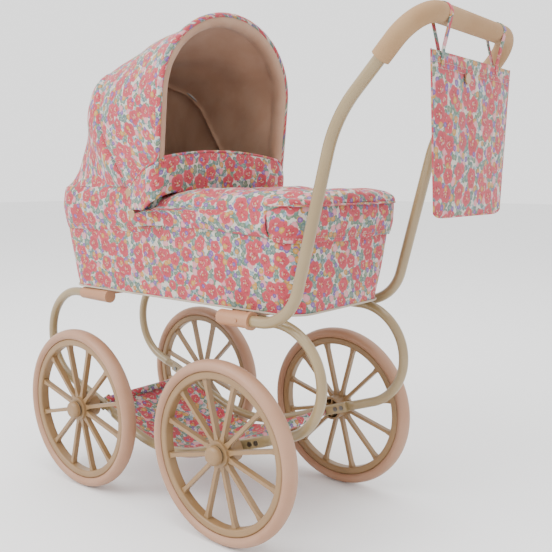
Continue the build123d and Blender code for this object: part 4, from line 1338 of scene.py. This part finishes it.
def stitched(name, lines, body=None, spacing=0.0042):
    """Lay stitches along lines of points, as one mesh. It rides on a body, or stays where it is laid
    when none is given."""
    points, edges = [], []
    for line in lines:
        start = len(points)
        points += [tuple(p) for p in line]
        edges += [(start + i, start + i + 1) for i in range(len(line) - 1)]
    mesh = bpy.data.meshes.new(name + "_line")
    mesh.from_pydata(points, edges, [])
    guide = bpy.data.objects.new(name + "_line", mesh)
    bpy.context.scene.collection.objects.link(guide)
    modifier = guide.modifiers.new("stitches", "NODES")
    modifier.node_group = stitcher
    sockets = {item.name: item.identifier for item in stitcher.interface.items_tree
               if item.in_out == "INPUT"}
    modifier[sockets["Spacing"]] = spacing
    modifier[sockets["Thread"]] = thread_finish
    bpy.context.view_layer.update()
    posed = guide.evaluated_get(bpy.context.evaluated_depsgraph_get())
    made = bpy.data.meshes.new_from_object(posed)
    made.name = name
    if "cloth" not in made.uv_layers:
        made.uv_layers.new(name="cloth")
    piece = bpy.data.objects.new(name, made)
    bpy.context.scene.collection.objects.link(piece)
    bpy.data.objects.remove(guide)
    if body is None:
        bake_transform(piece)
    else:
        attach(piece, body)
    print(f"{name}: {len(made.polygons)} faces")


def raised(grid, row, lift=0.5):
    """A line of a grid, lifted just clear of the cloth on the side away from the pram's middle."""
    normal = grid_normals(grid)[row]
    line = grid[row]
    away = np.sign(((line - cot_middle) * normal).sum(-1, keepdims=True))
    return line + normal * away * lift * mm


# %% Stitches
stitched("skirt_stitches", [raised(skirt_grid, -3), raised(band_grid, -3)], "chassis")
stitched("hood_stitches", [raised(canopy_grid, SEAM_ROW - 1), raised(canopy_grid, SEAM_ROW + 1)])
bag_face = bag_panel(1)
lift_out = np.array((0, 0.6 * mm, 0))
stitched("bag_stitches", [bag_face[2] + lift_out, bag_face[3] + lift_out], "hanging_bag", spacing=0.0036)

# %% [markdown]
# The studio is a large flat pale floor under a bright plain sky, with a broad soft light from the
# left and a weaker one overhead. The camera stands behind and to the left of the pram, a little
# above the carrycot's rim.

# %% Studio
floor_size = 14.0
floor_corners = [(x * floor_size, y * floor_size, 0) for x, y in ((-1, -1), (1, -1), (1, 1), (-1, 1))]
floor_mesh = add_mesh("studio_floor", floor_corners, [(0, 1, 2, 3)])
floor_finish, _, floor_shader = new_finish("pale floor")
floor_shader.inputs["Base Color"].default_value = (0.86, 0.86, 0.86, 1)
floor_shader.inputs["Roughness"].default_value = 0.9
floor_mesh.data.materials.append(floor_finish)

world = bpy.data.worlds.new("studio")
world.use_nodes = True
sky = world.node_tree.nodes["Background"].inputs
sky["Color"].default_value = (1.0, 1.0, 1.0, 1)
sky["Strength"].default_value = 1.8
bpy.context.scene.world = world


def soft_light(name, place, target, size, power):
    """A square area light at a place, turned toward a target. power is in watts."""
    lamp = bpy.data.lights.new(name, "AREA")
    lamp.size = size
    lamp.energy = power
    holder = bpy.data.objects.new(name, lamp)
    holder.location = place
    holder.rotation_euler = (Vector(target) - Vector(place)).to_track_quat("-Z", "Y").to_euler()
    bpy.context.scene.collection.objects.link(holder)


soft_light("key", (2.4, -1.0, 2.4), (0, 0, 0.35), 1.8, 85)
soft_light("top", (0.2, 0.4, 3.0), (0, 0, 0.3), 2.2, 50)

# %% Camera
camera_data = bpy.data.cameras.new("camera")
camera_data.sensor_width = 36.0
camera_data.lens = 48.08
camera = bpy.data.objects.new("camera", camera_data)
camera.location = at(818.9, 816.6, 489.5)
look = Vector((-0.7625, -0.6339, -0.1298))
camera.rotation_euler = look.to_track_quat("-Z", "Y").to_euler()
bpy.context.scene.collection.objects.link(camera)
bpy.context.scene.camera = camera
